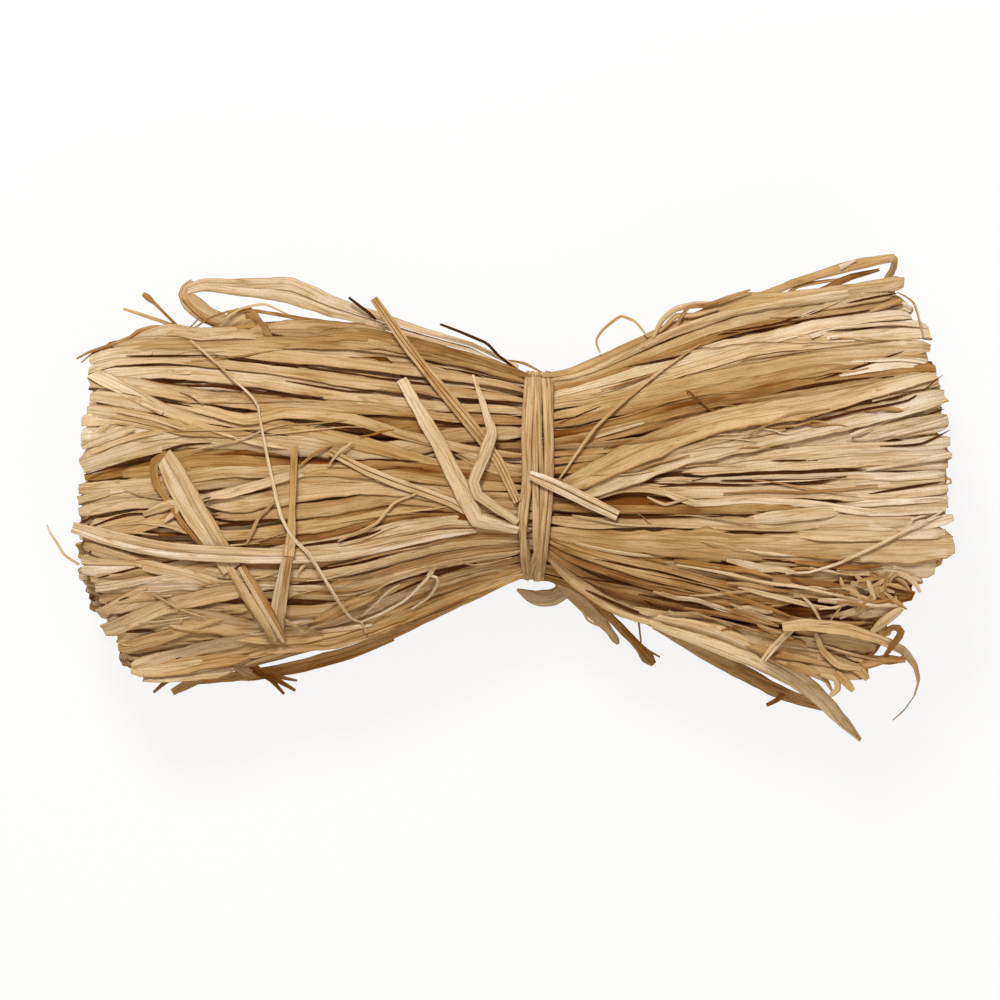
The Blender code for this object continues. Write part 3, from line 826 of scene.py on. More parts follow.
# Layers from the skin inwards: how many strips, from what depth to what depth, the usual width,
# the steps between stations along the middle and the ends, the sides of a strip's section, and
# the share of ends that are folded back over their strip.
LAYERS = (
    (130, (0.1, 2.2), 3.9, 2.6, 1.6, 10, 0.12),
    (92, (2.6, 4.6), 4.6, 4.5, 2.0, 8, 0.3),
    (60, (5.5, 8.0), 5.4, 8.0, 2.5, 6, 0.2),
)
INNER_STRIPS = 200
INNER_SIDES = 6
GOLDEN_TURN = 2.399963  # radians from one inner strip to the next, which spreads them evenly


def random_width(rng, usual):
    """A strip's width: most are near the usual one, and few are much wider."""
    return float(np.clip(usual * np.exp(rng.normal(0, 0.5)), 1.0, 10.5)) * MM


def bundle_strips():
    """Each layer's strips, with the sides of their section, by direction."""
    rng = np.random.default_rng(21)
    made = []
    for count, depth, usual, step, end_step, sides, outward in LAYERS:
        start = rng.uniform(0, 2 * math.pi)
        for number in range(count):
            angle = start + 2 * math.pi * (number + rng.uniform(-0.4, 0.4)) / count
            level = depth[0] + (depth[1] - depth[0]) * ((number * 0.618) % 1)
            strip = bundle_strip(rng, angle, level * MM, 1, random_width(rng, usual), step * MM,
                                 end_step * MM, outward)
            made.append((angle % (2 * math.pi), sides, strip))
    for number in range(INNER_STRIPS):
        share = 0.82 * math.sqrt(rng.uniform(0.01, 1.0))
        angle = number * GOLDEN_TURN
        strip = bundle_strip(rng, angle, 0.0, share, random_width(rng, 5.0), 16 * MM, 2.5 * MM)
        made.append((None, INNER_SIDES, strip))
    return made


OUTER_PIECES = 18


def piece_of_strips(name, rails_by_sides, material, slot, nodes, **shape):
    """One piece of the strips on these rails, which stands for the nodes named."""
    parts = [sweep(f"{name}_{sides}", rails, material, sides, **shape)
             for sides, rails in rails_by_sides.items()]
    first = parts[0]
    if len(parts) > 1:
        with bpy.context.temp_override(active_object=first, selected_editable_objects=parts):
            bpy.ops.object.join()
    first.name = name
    first.data.name = name
    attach(first, "root")
    if nodes:
        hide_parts(*nodes)
    return first


all_strips = bundle_strips()
for piece in range(OUTER_PIECES):
    low = 2 * math.pi * piece / OUTER_PIECES
    high = low + 2 * math.pi / OUTER_PIECES
    chosen = {}
    for angle, sides, strip in all_strips:
        if angle is not None and low <= angle < high:
            chosen.setdefault(sides, []).append(strip)
    piece_of_strips(f"strips_outer_{piece + 1:02d}", chosen, bundle_raffia, "bundle_raffia",
                    [f"sheaf_outer_{piece + 1:02d}"])
inside = [strip for angle, sides, strip in all_strips if angle is None]
inside_nodes = [name for name in sheaf_names if not name.startswith("sheaf_outer")]
piece_of_strips("strips_inside", {INNER_SIDES: inside}, bundle_raffia, "bundle_raffia", inside_nodes)


# ------------------------------------------------------------------------------------------
# The strips on top of the bundle
# The strips of the same raffia that show when the bundle lies as it does here, laid one by one
# over the layers below, and folded under at both ends.

# Each row gives the tone from 0 to 9, the width, and then x and y of the strip's run, all in
# millimetres. A third number is the share of the width that the strip has there.
TOP_LEFT = [
    (6, 3, (-124, 54.5), (-112, 58), (-103, 56.5), (-90, 57), (-76, 55)),
    (5, 4.6, (-82, 58.5), (-60, 57.8), (-46, 56.5), (-30, 53)),
    (4, 3.6, (-68, 54.5), (-52, 56.5), (-38, 55), (-12, 49), (12, 41.5)),
    (5, 4, (-131, 51.5), (-120, 53.5), (-90, 53), (-75, 53.5), (-45, 52.5), (-28, 50), (-10, 46.3),
     (12, 39.5)),
    (6, 4, (-139, 48), (-128, 50), (-115, 51), (-90, 50.3), (-40, 45), (0, 39.5), (12, 37)),
    (7, 5, (-139.5, 41.7), (-128, 43), (-115, 43.5), (-100, 42.8), (-70, 39.5), (-38, 33), (-18, 31),
     (12, 30)),
    (5, 4.5, (-139, 40), (-128, 39.5), (-105, 35.5), (-70, 32), (-45, 31), (-12, 27.8), (12, 26.8)),
    (6, 3.6, (-139, 35.5), (-88, 26.7), (-82, 26.2)),
    (6, 4.5, (-142, 27), (-130, 28), (-108, 24.8), (-95, 24), (-75, 24.5), (-40, 17.5), (-22, 12.3),
     (0, 10), (12, 8)),
    (6, 6.5, (-142, 11.7), (-115, 20.3), (-105, 21.5), (-92, 21), (-60, 17.4), (-38, 16), (-14, 22),
     (0, 23), (12, 23)),
    (7, 6, (-142, 22), (-120, 23.7), (-90, 27.7)),
    (3, 3.5, (-128, 8.7), (-118, 10), (-105, 13), (-95, 13.5), (-35, 11), (12, 6.5)),
    (6, 4, (-143, 3.5), (-115, 6), (-105, 8.5), (-95, 10), (-72, 9.8), (-60, 10.5), (-30, 8.7), (-5, 5),
     (12, 4)),
    (5, 4.2, (-143, 0), (-112, 4), (-100, 6.3), (-60, 8.3), (-40, 7.5), (-18, 4.5), (-5, 2), (12, 1)),
    (6, 3.6, (-143, -4), (-126, -1.2), (-114, -1), (-103, -2)),
    (5, 3.5, (-139, -8), (-122, -6.5), (-112, -8), (-95, -12.3), (-58, -8), (-38, -3.5), (-28, -3),
     (-16, -3.5), (12, -6)),
    (4, 3, (-72, -6.5), (-50, -4.5), (-40, -2), (-30, -1), (-18, -3), (-8, -6), (12, -7)),
    (3, 4, (-92, -14.5), (-80, -13), (-60, -12.3), (-40, -7.7), (-18, -5.5), (12, -8.5)),
    (7, 5, (-80, -17), (-62, -16.5), (-30, -9), (-20, -7.5), (-8, -6.7), (12, -9.5)),
    (6, 4, (-66, -19.5), (-50, -17), (-18, -10.2), (-6, -10), (12, -11.5)),
    (5, 3.6, (-142, -20.5), (-118, -20), (-90, -22), (-75, -22), (-62, -21.2), (-18, -13.5), (-6, -12.3),
     (12, -12.8)),
    (7, 4, (-142, -24), (-133, -24), (-122, -22.5), (-110, -22.5), (-85, -25.3), (-60, -25.7),
     (-52, -24.3), (-25, -17.5), (-12, -15.3), (12, -14.3)),
    (5, 4, (-139, -27), (-130, -27), (-120, -25.3), (-108, -25), (-88, -27.8), (-56, -29), (-48, -28),
     (-20, -19.5), (-6, -17), (12, -15.8)),
    (4, 3.2, (-136, -34), (-118, -31.9), (-108, -31.5), (-58, -32.8), (-48, -32.2), (-16, -23),
     (12, -19)),
    (5, 4, (-136, -38), (-120, -35.4), (-110, -35.4), (-90, -37.7), (-68, -38), (-60, -37.2),
     (-52, -35.5), (-34, -29), (-8, -22.5), (12, -20.3)),
    (6, 5.5, (-133, -42.5), (-115, -40.5), (-104, -40.6), (-80, -43), (-68, -43.3), (-58, -41),
     (-28, -30), (-16, -26.5), (-4, -23.5), (12, -21.3)),
    (5, 4.5, (-130, -47.5), (-98, -44.8), (-76, -46.5), (-64, -45.5), (-54, -43), (-44, -39.5),
     (-24, -31), (-12, -27), (0, -24), (12, -22)),
    (5, 3, (-129, -51.5), (-110, -48.7), (-100, -48.5), (-90, -49.3)),
    (5, 4, (-126, -54), (-118, -53.5), (-110, -51.5), (-90, -50.6), (-80, -48.7), (-56, -46.5),
     (-34, -39), (-10, -29), (2, -24.8), (12, -22.5)),
    (7, 4, (-125, -58), (-115, -58), (-95, -54.5), (-86, -52)),
    (6, 3.5, (-121, -60.5), (-98, -58.5), (-85, -54.5)),
    (5, 4, (-92, -54), (-76, -50), (-60, -47.6), (-45, -44), (-30, -38.5), (-10, -31), (12, -24)),
    (5, 3.5, (-88, -51), (-70, -49.8), (-55, -48.2), (-40, -43.8), (-25, -37.5), (-5, -29.5), (12, -24)),
]
TOP_RIGHT = [
    (5, 4, (12, 42), (25, 43.7), (48, 53.8), (84, 68), (92, 68.3), (137, 74)),
    (5, 4, (12, 38.5), (35, 43.4), (75, 58.5), (95, 63), (105, 66), (134, 71)),
    (3, 3.2, (12, 37), (26, 39.2), (36, 41.8), (80, 57), (110, 63.3), (136, 67.7)),
    (7, 5, (12, 35), (26, 37.7), (75, 51.7), (93, 55.5), (110, 60), (139, 63.7)),
    (7, 4.5, (12, 33), (45, 38.7), (85, 50.5), (95, 52.5), (146, 57)),
    (8, 4, (104, 58), (135, 60.3), (145, 60)),
    (6, 3.5, (12, 31), (46, 36.5), (65, 42), (95, 49), (105, 50.5), (146, 52)),
    (5, 5, (12, 28), (26, 29.8), (36, 32.8), (105, 47), (135, 49.5)),
    (4, 4, (12, 25), (26, 26.8), (36, 29.5), (76, 37), (106, 43.5), (136, 48.3), (145, 49)),
    (8, 2.5, (108, 41.5), (136, 46.3), (145, 47)),
    (3, 3.5, (12, 22), (27, 23.3), (46, 28), (66, 31.8), (106, 40.8), (138, 44.3), (148, 44.8)),
    (4, 4, (12, 19.5), (27, 20.5), (66, 29.6), (88, 32.5), (140, 41.7), (148, 42.5)),
    (5, 3.5, (70, 29.3), (88, 30), (100, 31.7), (110, 34), (149, 40.5)),
    (5, 2.5, (12, 15.3), (33, 16.7), (50, 19)),
    (4, 3, (12, 12.5), (42, 15.5)),
    (4, 3, (12, 9.5), (24, 10.5), (40, 13.5)),
    (7, 4, (46, 9.8), (120, 17.2), (135, 17.4), (153, 20)),
    (7, 3.6, (58, 9.9), (153, 15.3)),
    (6, 2.3, (115, 11.4), (152, 11.7)),
    (7, 2.2, (48, 6.3), (60, 6.9), (68, 6.3), (120, 8.4), (133, 7.8), (151, 9)),
    (6, 3.5, (106, 4.5), (151, 7.2)),
    (6, 4, (22, 1), (33, 2), (42, 4.2), (50, 4.2), (58, 3), (108, 2.8), (132, 2), (152, 4)),
    (8, 4.5, (112, -0.3), (152, 1.5)),
    (7, 3, (122, -2.3), (152, -1.3)),
    (4, 3.6, (12, -2), (40, -3.3), (108, -2.7)),
    (6, 4, (12, -6.3), (28, -7.7), (62, -7.2), (95, -8.5), (110, -7), (143, -7.5)),
    (7, 3.3, (102, -10.3), (130, -9.7), (142, -8.7), (154, -6)),
    (5, 8.5, (12, -10.5), (40, -13.7), (85, -15.9), (130, -16), (154, -15)),
    (6, 3.6, (82, -20.2), (122, -20.2), (149, -19.3)),
    (7, 1.6, (12, -10), (30, -15.9), (40, -17.9), (58, -20)),
    (4, 2.5, (12, -11.5), (35, -18.7), (60, -24), (72, -27.5), (84, -30), (95, -31.3), (120, -32.6)),
    (3, 2.8, (12, -12.5), (25, -17.7), (45, -24), (74, -31), (86, -33.1), (108, -33)),
    (4, 3, (12, -13.5), (25, -20.5), (35, -24), (70, -33.5), (84, -35.5), (96, -35), (104, -33.9)),
    (5, 3.2, (50, -22.5), (60, -22.2), (82, -26.3), (95, -27.3), (120, -25.7)),
    (4, 4, (12, -15), (30, -26.3), (38, -29.5), (46, -31), (64, -36.3), (74, -38)),
    (4, 3.5, (74, -37.5), (88, -39), (108, -42.3), (126, -42.7)),
    (5, 4.6, (12, -16.5), (32, -32.3), (40, -36.7), (50, -40), (70, -42.3), (92, -47), (126, -51)),
    (5, 4, (80, -47.5), (103, -52.9), (113, -54.7), (122, -55.2)),
    (4, 4, (96, -43.5), (128, -48)),
    (5, 4, (88, -51), (112, -58), (120, -59), (125, -58.8)),
]
TOP_GREENISH = [
    (5, 4.2, (-139.5, 44.7), (-130, 46.7), (-115, 47.3), (-100, 46.5), (-8, 35.7), (12, 34)),
    (6, 7, (-101, -1), (-60, 4.3), (-40, 5.3), (-30, 4.5), (-18, 2), (-6, -1.5), (12, -3)),
    (5, 4.5, (-99, -5.3), (-75, -4.5), (-56, -2.5), (-36, 1.5), (-25, 1), (-12, -2), (12, -5)),
    (6, 3.8, (-137, -30), (-106, -28.3), (-84, -30), (-58, -31), (-50, -30.2), (-20, -22), (-6, -19.3),
     (12, -17.3)),
    (4, 3, (12, 17.5), (38, 18.9), (54, 21)),
    (5, 4.5, (56, 18), (82, 23.8), (107, 28.3)),
    (7, 6.2, (22, 0.5), (35, 4.3), (54, 12), (64, 15.3), (135, 31), (151, 35.5)),
    (6, 5, (52, 12), (105, 18.7), (152, 27)),
    (6, 7.4, (112, -21.6, 0.4), (130, -22, 0.7), (148, -22.4)),
]
TOP_OVER = [  # above the others
    (6, 3, (-112, 32.5), (-100, 30.5), (-87, 27), (-73, 29.3), (-50, 27.3), (-33, 22.3), (-10, 17),
     (12, 14.5)),
    (5, 2, (-141, 15.7), (-125, 21.3), (-107, 24.2)),
    (6, 2.5, (-142, 18.3), (-126, 23.7), (-118, 25)),
    (8, 2.6, (-104, 0.7), (-92, 2.2), (-69, 8.7), (-60, 9.3)),
    (5, 3.2, (-68, -44.3), (-53, -35.7), (-38, -30)),
    (6, 2.2, (-68, -44.6), (-40, -34)),
    (7, 1.4, (-68, -44.8), (-46, -42.8), (-38, -41)),
    (7, 2, (-44, 26.5), (-25, 20.3), (-15, 18.5)),
    (6, 3.5, (-19, 19), (-4, 12.7), (3, 11), (12, 10.5)),
    (5, 2.5, (-17, 16.5), (-8, 12), (0, 9.3), (12, 8)),
    (8, 2.2, (-9, 3), (0, -3), (12, -6)),
    (8, 4.2, (-12, 0), (-8, -4), (-3, -7.6), (4, -9.5), (12, -10.5)),
    (7, 2.4, (12, 40), (26, 42.2), (34, 45), (58, 56.4), (78, 63.3), (120, 70.5)),
    (8, 1, (27, 19.8), (55, 28)),
    (6, 8.5, (17, 3.3), (27, 6.7), (45, 15.5), (65, 24), (75, 26.9), (85, 28.8), (104, 31.5, 0.8),
     (125, 36.5, 0.5), (148, 42.3, 0.3)),
    (8, 2.2, (49, 5.2), (66, -1), (85, 0), (95, -0.5), (107, -1.5), (123, -4), (135, -4.2), (151, -3)),
    (7, 3.5, (82, -7), (119, -3.3)),
    (6, 3, (98, -11.7), (125, -12.3), (151, -11.3)),
    (7, 2.8, (40, -34.7), (46, -37.2), (55, -38.5), (78.5, -38)),
    (3, 3, (93, -54.3), (105, -58), (111, -61.5), (113.5, -66)),
    (5, 2.6, (107, -44.5), (109.5, -49.5), (114, -54), (121, -57)),
    (4, 2, (112, -45), (119, -53), (125, -55)),
    (2, 2.4, (116, -52.5), (132, -54.6), (137, -54)),
    (6, 3, (116, -40.3), (135, -36.7)),
    (5, 2.5, (108, -40.7), (127, -35.7)),
    (6, 2, (110, -24.7), (125, -24.3), (135, -25), (143, -27)),
]
TOP_CROSSING = [  # across the others at the left end
    (5, 3.6, (-136.5, -39), (-122, -31), (-106.5, -24.5), (-92, -22.5)),
    (6, 4.2, (-134.5, -44.5), (-115.5, -36.5), (-97, -32), (-81, -29.3)),
    (5, 8.5, (-117.5, -39.5), (-108, -39.8), (-96, -41), (-81, -44)),
    (4, 3.4, (-129.5, -50.5), (-111, -45), (-96, -39.5), (-86, -36)),
    (6, 6.0, (-124.5, -57.5), (-102, -49.8), (-81, -46.2)),
    (5, 4.0, (-120.5, -58.5), (-97, -54.5), (-83, -52.3)),
    (6, 3.6, (-141, -15.5), (-126, -20.5), (-106, -25.5), (-88, -31)),
    (6, 3.6, (-141.5, -12.5), (-124, -9.5), (-106, -3.5)),
    (7, 3.8, (-139, 43), (-114, 30.6), (-85, 21.3), (-66, 17.9)),
    (6, 3.4, (-140, 30.6), (-122, 28), (-100, 22)),
    (6, 3.2, (-140.5, 20), (-128, 28), (-114, 33.5)),
]
# These strips have the darkest tones: painted shade of the gaps between the strips above.
TOP_UNDER = [  # deep between the others
    (1, 3, (-141, 8), (-130, 9.5), (-110, 14.3), (-90, 17), (-55, 14.5)),
    (1, 2.6, (36, 4.7), (50, 5.7), (75, 5.2), (108, 6)),
    (1, 3, (70, -36), (96, -38.3), (108, -38.7), (120, -37)),
    (0, 3, (76, -41), (100, -44.5), (112, -44)),
    (1, 3, (-112, -54), (-103, -50.3), (-80, -47)),
]


# Dark brown slivers that lie in the grooves between the strips: painted shade of the grooves.
# Each row gives the greatest width and then the run.
TOP_GAP_SHADE = [
    (1.0, (-127, 49), (-118, 49), (-96, 49)),
    (2.3, (-122, 41.5), (-110, 39), (-95, 38.5), (-80, 36.3), (-60, 34.8)),
    (1.1, (-135, 37), (-128, 36), (-118, 34), (-97, 30)),
    (0.8, (-132, 31), (-112, 26), (-106, 24)),
    (1.0, (-98, 49.5), (-78, 46.8), (-58, 44), (-40, 41.5)),
    (0.9, (-73, 40.5), (-52, 37), (-40, 36.5)),
    (0.9, (-100, 26), (-81, 22.8), (-72, 21.8)),
    (1.5, (-60, 26), (-40, 22.5)),
    (1.3, (-141, 8.5), (-122, 14), (-108, 18.5), (-98, 19.5)),
    (1.2, (-143, -8), (-138, -5.5)),
    (1.1, (-139, -9), (-127, -5), (-118, -4.5)),
    (2.2, (-140, -18), (-136, -16.3), (-131, -17)),
    (1.2, (-137, -26.5), (-118, -22), (-109, -20.5)),
    (1.0, (-134, -35), (-126, -33)),
    (1.1, (-123, -37), (-103, -35.5)),
    (1.0, (-104, -31), (-96, -30)),
    (0.9, (-133, -42), (-127, -38.5), (-118, -38)),
    (1.0, (-127, -45), (-117, -44.5)),
    (1.3, (-112, -55), (-103, -50), (-94, -49.5)),
    (1.5, (-87, 15.5), (-60, 13.5), (-33, 13)),
    (1.2, (-101, 0.5), (-90, 1.5), (-76, 4)),
    (2.4, (-97, -9), (-75, -6.5)),
    (1.3, (-71, -16), (-50, -13), (-34, -8.5)),
    (1.5, (-62, -24), (-38, -18.5)),
    (1.1, (-72, -29), (-55, -27.3)),
    (1.0, (-83, -31), (-75, -30.5)),
    (1.7, (-98, -34.7), (-76, -34), (-54, -34.5)),
    (1.0, (-46, 47), (-27, 44)),
    (1.0, (-46, 42), (-22, 39)),
    (0.9, (-46, 14), (-27, 13)),
    (1.0, (-31, -4), (-10, -4)),
    (1.2, (-47, -9.5), (-18, -5.5)),
    (1.0, (-46, -21), (-28, -17.5)),
    (1.2, (-46, -32), (-30, -26), (-10, -22)),
    (1.2, (-44, -35), (-24, -26.5), (-8, -21.5)),
    (0.9, (-20, 35), (6, 33)),
    (0.9, (-22, 30), (6, 29)),
    (0.9, (-24, 25), (6, 25.5)),
    (1.5, (64, 54), (75, 56.5), (81, 57)),
    (1.4, (42, 45), (60, 48.5), (69, 52)),
    (1.0, (20, 26), (40, 34), (60, 39.5), (86, 45)),
    (1.2, (46, 22), (68, 27)),
    (1.1, (70, 18.5), (98, 24.5), (124, 30.8), (139, 34), (150.5, 42.5)),
    (1.0, (41, 6), (56, 8.5), (66, 9)),
    (1.0, (65, 6.5), (78, 9), (105, 9.5), (126, 10.3)),
    (1.1, (54, 4.5), (66, 5.5), (86, 5)),
    (1.8, (75, 6.6), (105, 6.6), (118, 8)),
    (1.0, (20, -5), (45, -5.8), (76, -5.5)),
    (1.0, (26, -26), (38, -28), (47, -29.5)),
    (1.5, (29, -30.5), (46, -38), (56, -40)),
    (1.5, (47, -32), (60, -34.5), (76, -36)),
    (1.0, (32, -20), (51, -24)),
    (1.1, (49, -25), (72, -30), (81, -33)),
    (1.0, (62, -22), (74, -25)),
    (1.0, (75, -20.5), (86, -24)),
    (1.2, (68, -40), (85, -39.5)),
    (2.6, (77, -43), (86, -42.6), (96, -44.5)),
    (0.8, (112, 52), (146, 55.2)),
    (0.9, (107, 40.5), (120, 44.5), (137, 50.5)),
    (1.3, (78, 32), (92, 35.5), (104, 38.5), (120, 40.8), (134, 42)),
    (1.0, (118, 67), (135, 70.3)),
    (0.9, (75, 57), (92, 59.5), (108, 64.5)),
    (0.9, (95, 60), (120, 63.5), (137, 66.5)),
    (1.0, (137, 26), (151, 31)),
    (1.0, (129, 18.2), (143, 19), (153, 23.8)),
    (0.9, (92, 13.3), (108, 13.5)),
    (1.1, (125, 2), (151, 6.3)),
    (0.9, (76, -11), (101, -11)),
    (1.0, (87, -4), (106, -3.5)),
    (1.1, (89, -20), (108, -22)),
    (1.2, (94, -37.5), (105, -40)),
    (1.2, (107, -38), (120, -37.5)),
    (1.4, (131, -32.5), (134.6, -33.2)),
    (1.4, (119.7, -26.5), (123.8, -28.6)),
    (1.4, (112.2, -37.4), (119.7, -37.1)),
    (1.4, (121.7, -42.8), (126.5, -42.2)),
]


def on_curve(rows, step, sharp=0.0):
    """A curve through rows of numbers, the first three a place, at even steps. It is smooth
    where sharp is 0, and runs straight from row to row where it is 1."""
    rows = np.asarray(rows, float)
    padded = np.vstack([2 * rows[0] - rows[1], rows, 2 * rows[-1] - rows[-2]])
    pieces = []
    t = np.linspace(0, 1, 16, endpoint=False)[:, None]
    for i in range(len(rows) - 1):
        a, b, c, d = padded[i:i + 4]
        gaps = [max(np.linalg.norm(q[:3] - p[:3]), 1e-6) ** 0.5 for p, q in ((a, b), (b, c), (c, d))]
        leave = gaps[1] * ((b - a) / gaps[0] - (c - a) / (gaps[0] + gaps[1])) + (c - b)
        arrive = gaps[1] * ((d - c) / gaps[2] - (d - b) / (gaps[1] + gaps[2])) + (c - b)
        square, cube = 3 * (c - b) - 2 * leave - arrive, 2 * (b - c) + leave + arrive
        smooth = b + leave * t + square * t**2 + cube * t**3
        pieces.append(smooth + (b + (c - b) * t - smooth) * sharp)
    fine = np.vstack([*pieces, rows[-1:]])
    length = np.concatenate([[0.0], np.cumsum(np.linalg.norm(np.diff(fine[:, :3], axis=0), axis=1))])
    stations = np.linspace(0, length[-1], max(int(length[-1] / step), 3) + 1)
    return np.stack([np.interp(stations, length, column) for column in fine.T], 1)


TOP_GRID = 2 * MM
top_x = np.arange(-80, 81) * TOP_GRID
top_y = np.arange(-45, 46) * TOP_GRID


def top_heights():
    """Heights of the bundle's top over a grid of places, level past its rounded edges."""
    angles = np.linspace(0.02, math.pi - 0.02, 80)
    rows = []
    for x in top_x:
        section = bundle_point(np.full_like(angles, x), angles, 0.0)
        back, front = section[0, 1], section[-1, 1]
        middle, half = (back + front) / 2, (back - front) / 2
        held = middle + np.clip(top_y - middle, -0.9 * half, 0.9 * half)
        rows.append(np.interp(-held, -section[:, 1], section[:, 2]))
    return np.array(rows)


top_z = top_heights()


def top_at(x, y):
    """Height of the bundle's top over places on the table."""
    along = np.clip((x - top_x[0]) / TOP_GRID, 0, len(top_x) - 1.001)
    across = np.clip((y - top_y[0]) / TOP_GRID, 0, len(top_y) - 1.001)
    i, j = along.astype(int), across.astype(int)
    s, t = along - i, across - j
    near = top_z[i, j] * (1 - t) + top_z[i, j + 1] * t
    far = top_z[i + 1, j] * (1 - t) + top_z[i + 1, j + 1] * t
    return near * (1 - s) + far * s


def drawn_in(height):
    """Routes are given as they look from above at the level the camera is set for. What lies
    higher looks larger, so that its route is drawn in by this much."""
    return (CAMERA_HEIGHT - height) / (CAMERA_HEIGHT - VIEW_LEVEL)


def on_top(x, y):
    """Places on the bundle's top, and the way out of it at each."""
    share = drawn_in(top_at(x, y))
    x, y = x * share, y * share
    nudge = 1.5 * MM
    slope_x = (top_at(x + nudge, y) - top_at(x - nudge, y)) / (2 * nudge)
    slope_y = (top_at(x, y + nudge) - top_at(x, y - nudge)) / (2 * nudge)
    return np.stack([x, y, top_at(x, y)], 1), unit(np.stack([-slope_x, -slope_y, np.ones_like(x)], 1))


def beside(points, side, widths, shift, share):
    """Moves a strand of a split strip to its place across the strip."""
    return points + unit(side) * (widths * shift * MM)[:, None], widths * share * MM


def over_top(rows, step=1.6, shift=0.0, share=1.0, sharp=0.0, **looks):
    """The rail of a strip laid over the bundle's top, from rows in millimetres of x, y, how far
    above the skin, and width. A strand of a split strip has its shift across the strip and its
    own width, as shares of the strip's width."""
    rows = on_curve(rows, step, sharp)
    places, out = on_top(rows[:, 0] * MM, rows[:, 1] * MM)
    points = places.copy()
    points[:, 2] += rows[:, 2] * MM / np.maximum(out[:, 2], 0.7)
    side = np.cross(unit(np.gradient(points, axis=0)), out)
    points, widths = beside(points, side, rows[:, 3], shift, share)
    return rail(points, side, widths, **looks)


FOLD_PAST = 118 * MM  # past this the strips on top end in a fold, and short of it they run in
TOP_DROP = 1.6 * MM  # how far they dip towards the fold
TOP_ROUND = 7 * MM
TOP_SHARP = 0.5
DIVE = 2.6 * MM  # how deep a strip ends that runs in under its neighbours
DIVE_LENGTH = 11 * MM
TOP_WIDER = 1.18  # a strip's full width as a share of what shows of it
MOST_TOP_TONE = 0.95


def folded_end(points, out, rng):
    """Adds the fold after the last point, and the length that runs back under the strip or,
    less often, over it."""
    run = unit(points[-1] - points[-3])
    way = 1 if rng.uniform() < 0.08 else -1
    radius = rng.uniform(0.3, 0.7) * MM
    turn = np.linspace(0, math.pi, 6)[1:, None]
    arc = points[-1] + run * radius * np.sin(turn) + out[-1] * way * radius * (1 - np.cos(turn))
    count = min(int(rng.integers(5, 16)), len(points) - 2)
    slant = rng.normal(0, 0.12)
    back = points[-2:-2 - count:-1]
    away = np.linalg.norm(back - points[-1], axis=1)[:, None]
    lifted = out[-2:-2 - count:-1] * way * 2 * radius * (1 - 1.3 * np.linspace(0, 1, count)[:, None] ** 2)
    tail = back + lifted + np.cross(run, out[-1]) * slant * away
    return np.vstack([points, arc, tail]), np.vstack([out, np.repeat(out[-1:], 5, 0), out[-2:-2 - count:-1]])


def top_strip(rng, lift, tint, tone, width, *path):
    """One of the strips on top, from its tone, its width and the places it runs through, each
    with the share of the width there where it isn't the whole."""
    rows = on_curve([(x, y, 0, *(share or [1.0])) for x, y, *share in path], 2.3, TOP_SHARP)
    places, out = on_top(rows[:, 0] * MM, rows[:, 1] * MM)
    x = places[:, 0]
    loose = spread_at(x)
    level = lift * (0.4 + 0.6 * loose) + wave(x, rng, 0.22 * MM, 50 * MM, 160 * MM) * loose
    taper = np.ones_like(x)
    for end in (0, -1):
        far = np.abs(x - x[end])
        if abs(x[end]) > FOLD_PAST:
            near = np.clip(1 - far / TOP_ROUND, 0, 1)
            level = level - TOP_DROP * (1 - np.sqrt(1 - 0.98 * near**2))
            taper = taper * pinched(far)
        else:
            level = level - DIVE * np.clip(1 - far / DIVE_LENGTH, 0, 1) ** 2
            taper = taper * (1 - 0.8 * np.clip(1 - far / DIVE_LENGTH, 0, 1) ** 1.5)
    points = places + out * level[:, None]
    widths = width * rows[:, 3] * TOP_WIDER * MM * taper * (WAIST_WIDTH + (1 - WAIST_WIDTH) * loose)
    widths = widths * (1 + kinks(x, rng, 0.12, 18 * MM))
    roll = rng.normal(0, 0.09) + kinks(x, rng, 0.1, 30 * MM) * loose
    for _ in range(2):
        if abs(points[-1, 0]) > FOLD_PAST:
            grown, out = folded_end(points, out, rng)
            extra = len(grown) - len(points)
            widths = np.append(widths, np.linspace(widths[-1], widths[-1] * 0.45, extra))
            roll = np.append(roll, np.full(extra, roll[-1]))
            points = grown
        points, out, widths, roll = points[::-1], out[::-1], widths[::-1], roll[::-1]
    run = unit(np.gradient(points, axis=0))
    side = np.cross(run, out)
    side[np.sum(side * side[len(side) // 2], axis=1) < 0] *= -1
    # The tone carries painted light towards the ends and painted shade by the tie.
    shade = np.minimum((tone + rng.normal(0, 0.5)) / 9 + painted_light_and_shade(points[:, 0]), MOST_TOP_TONE)
    return rail(points, side, widths, rng.uniform(-0.08, 0.12), roll, shade,
                tint=tint + rng.normal(0, 0.15))


TOP_GROUPS = (  # the rows, the least and the most height above the skin, and the tint
    (TOP_UNDER, -1.3, -1.1, 1.4),
    (TOP_LEFT, -0.1, 0.5, 0.1),
    (TOP_RIGHT, -0.1, 0.5, 0.1),
    (TOP_GREENISH, 0.2, 0.5, -0.3),
    (TOP_OVER, 0.8, 1.2, 0.1),
    (TOP_CROSSING, 0.5, 1.0, 0.2),
)
top_dice = np.random.default_rng(8)
top_strips = [top_strip(top_dice, top_dice.uniform(low, high) * MM, tint, *row)
              for rows, low, high, tint in TOP_GROUPS for row in rows]


def sides_for(strip):
    """More folds lie across a wider strip."""
    return int(np.interp(strip["width"].max(), (3 * MM, 5 * MM, 8 * MM), (8, 10, 14)) / 2) * 2


PIECES_ON_TOP = 3
for piece in range(PIECES_ON_TOP):
    chosen = {}
    for strip in top_strips[piece::PIECES_ON_TOP]:
        chosen.setdefault(sides_for(strip), []).append(strip)
    piece_of_strips(f"strips_on_top_{piece + 1}", chosen, bundle_raffia, "bundle_raffia", [])
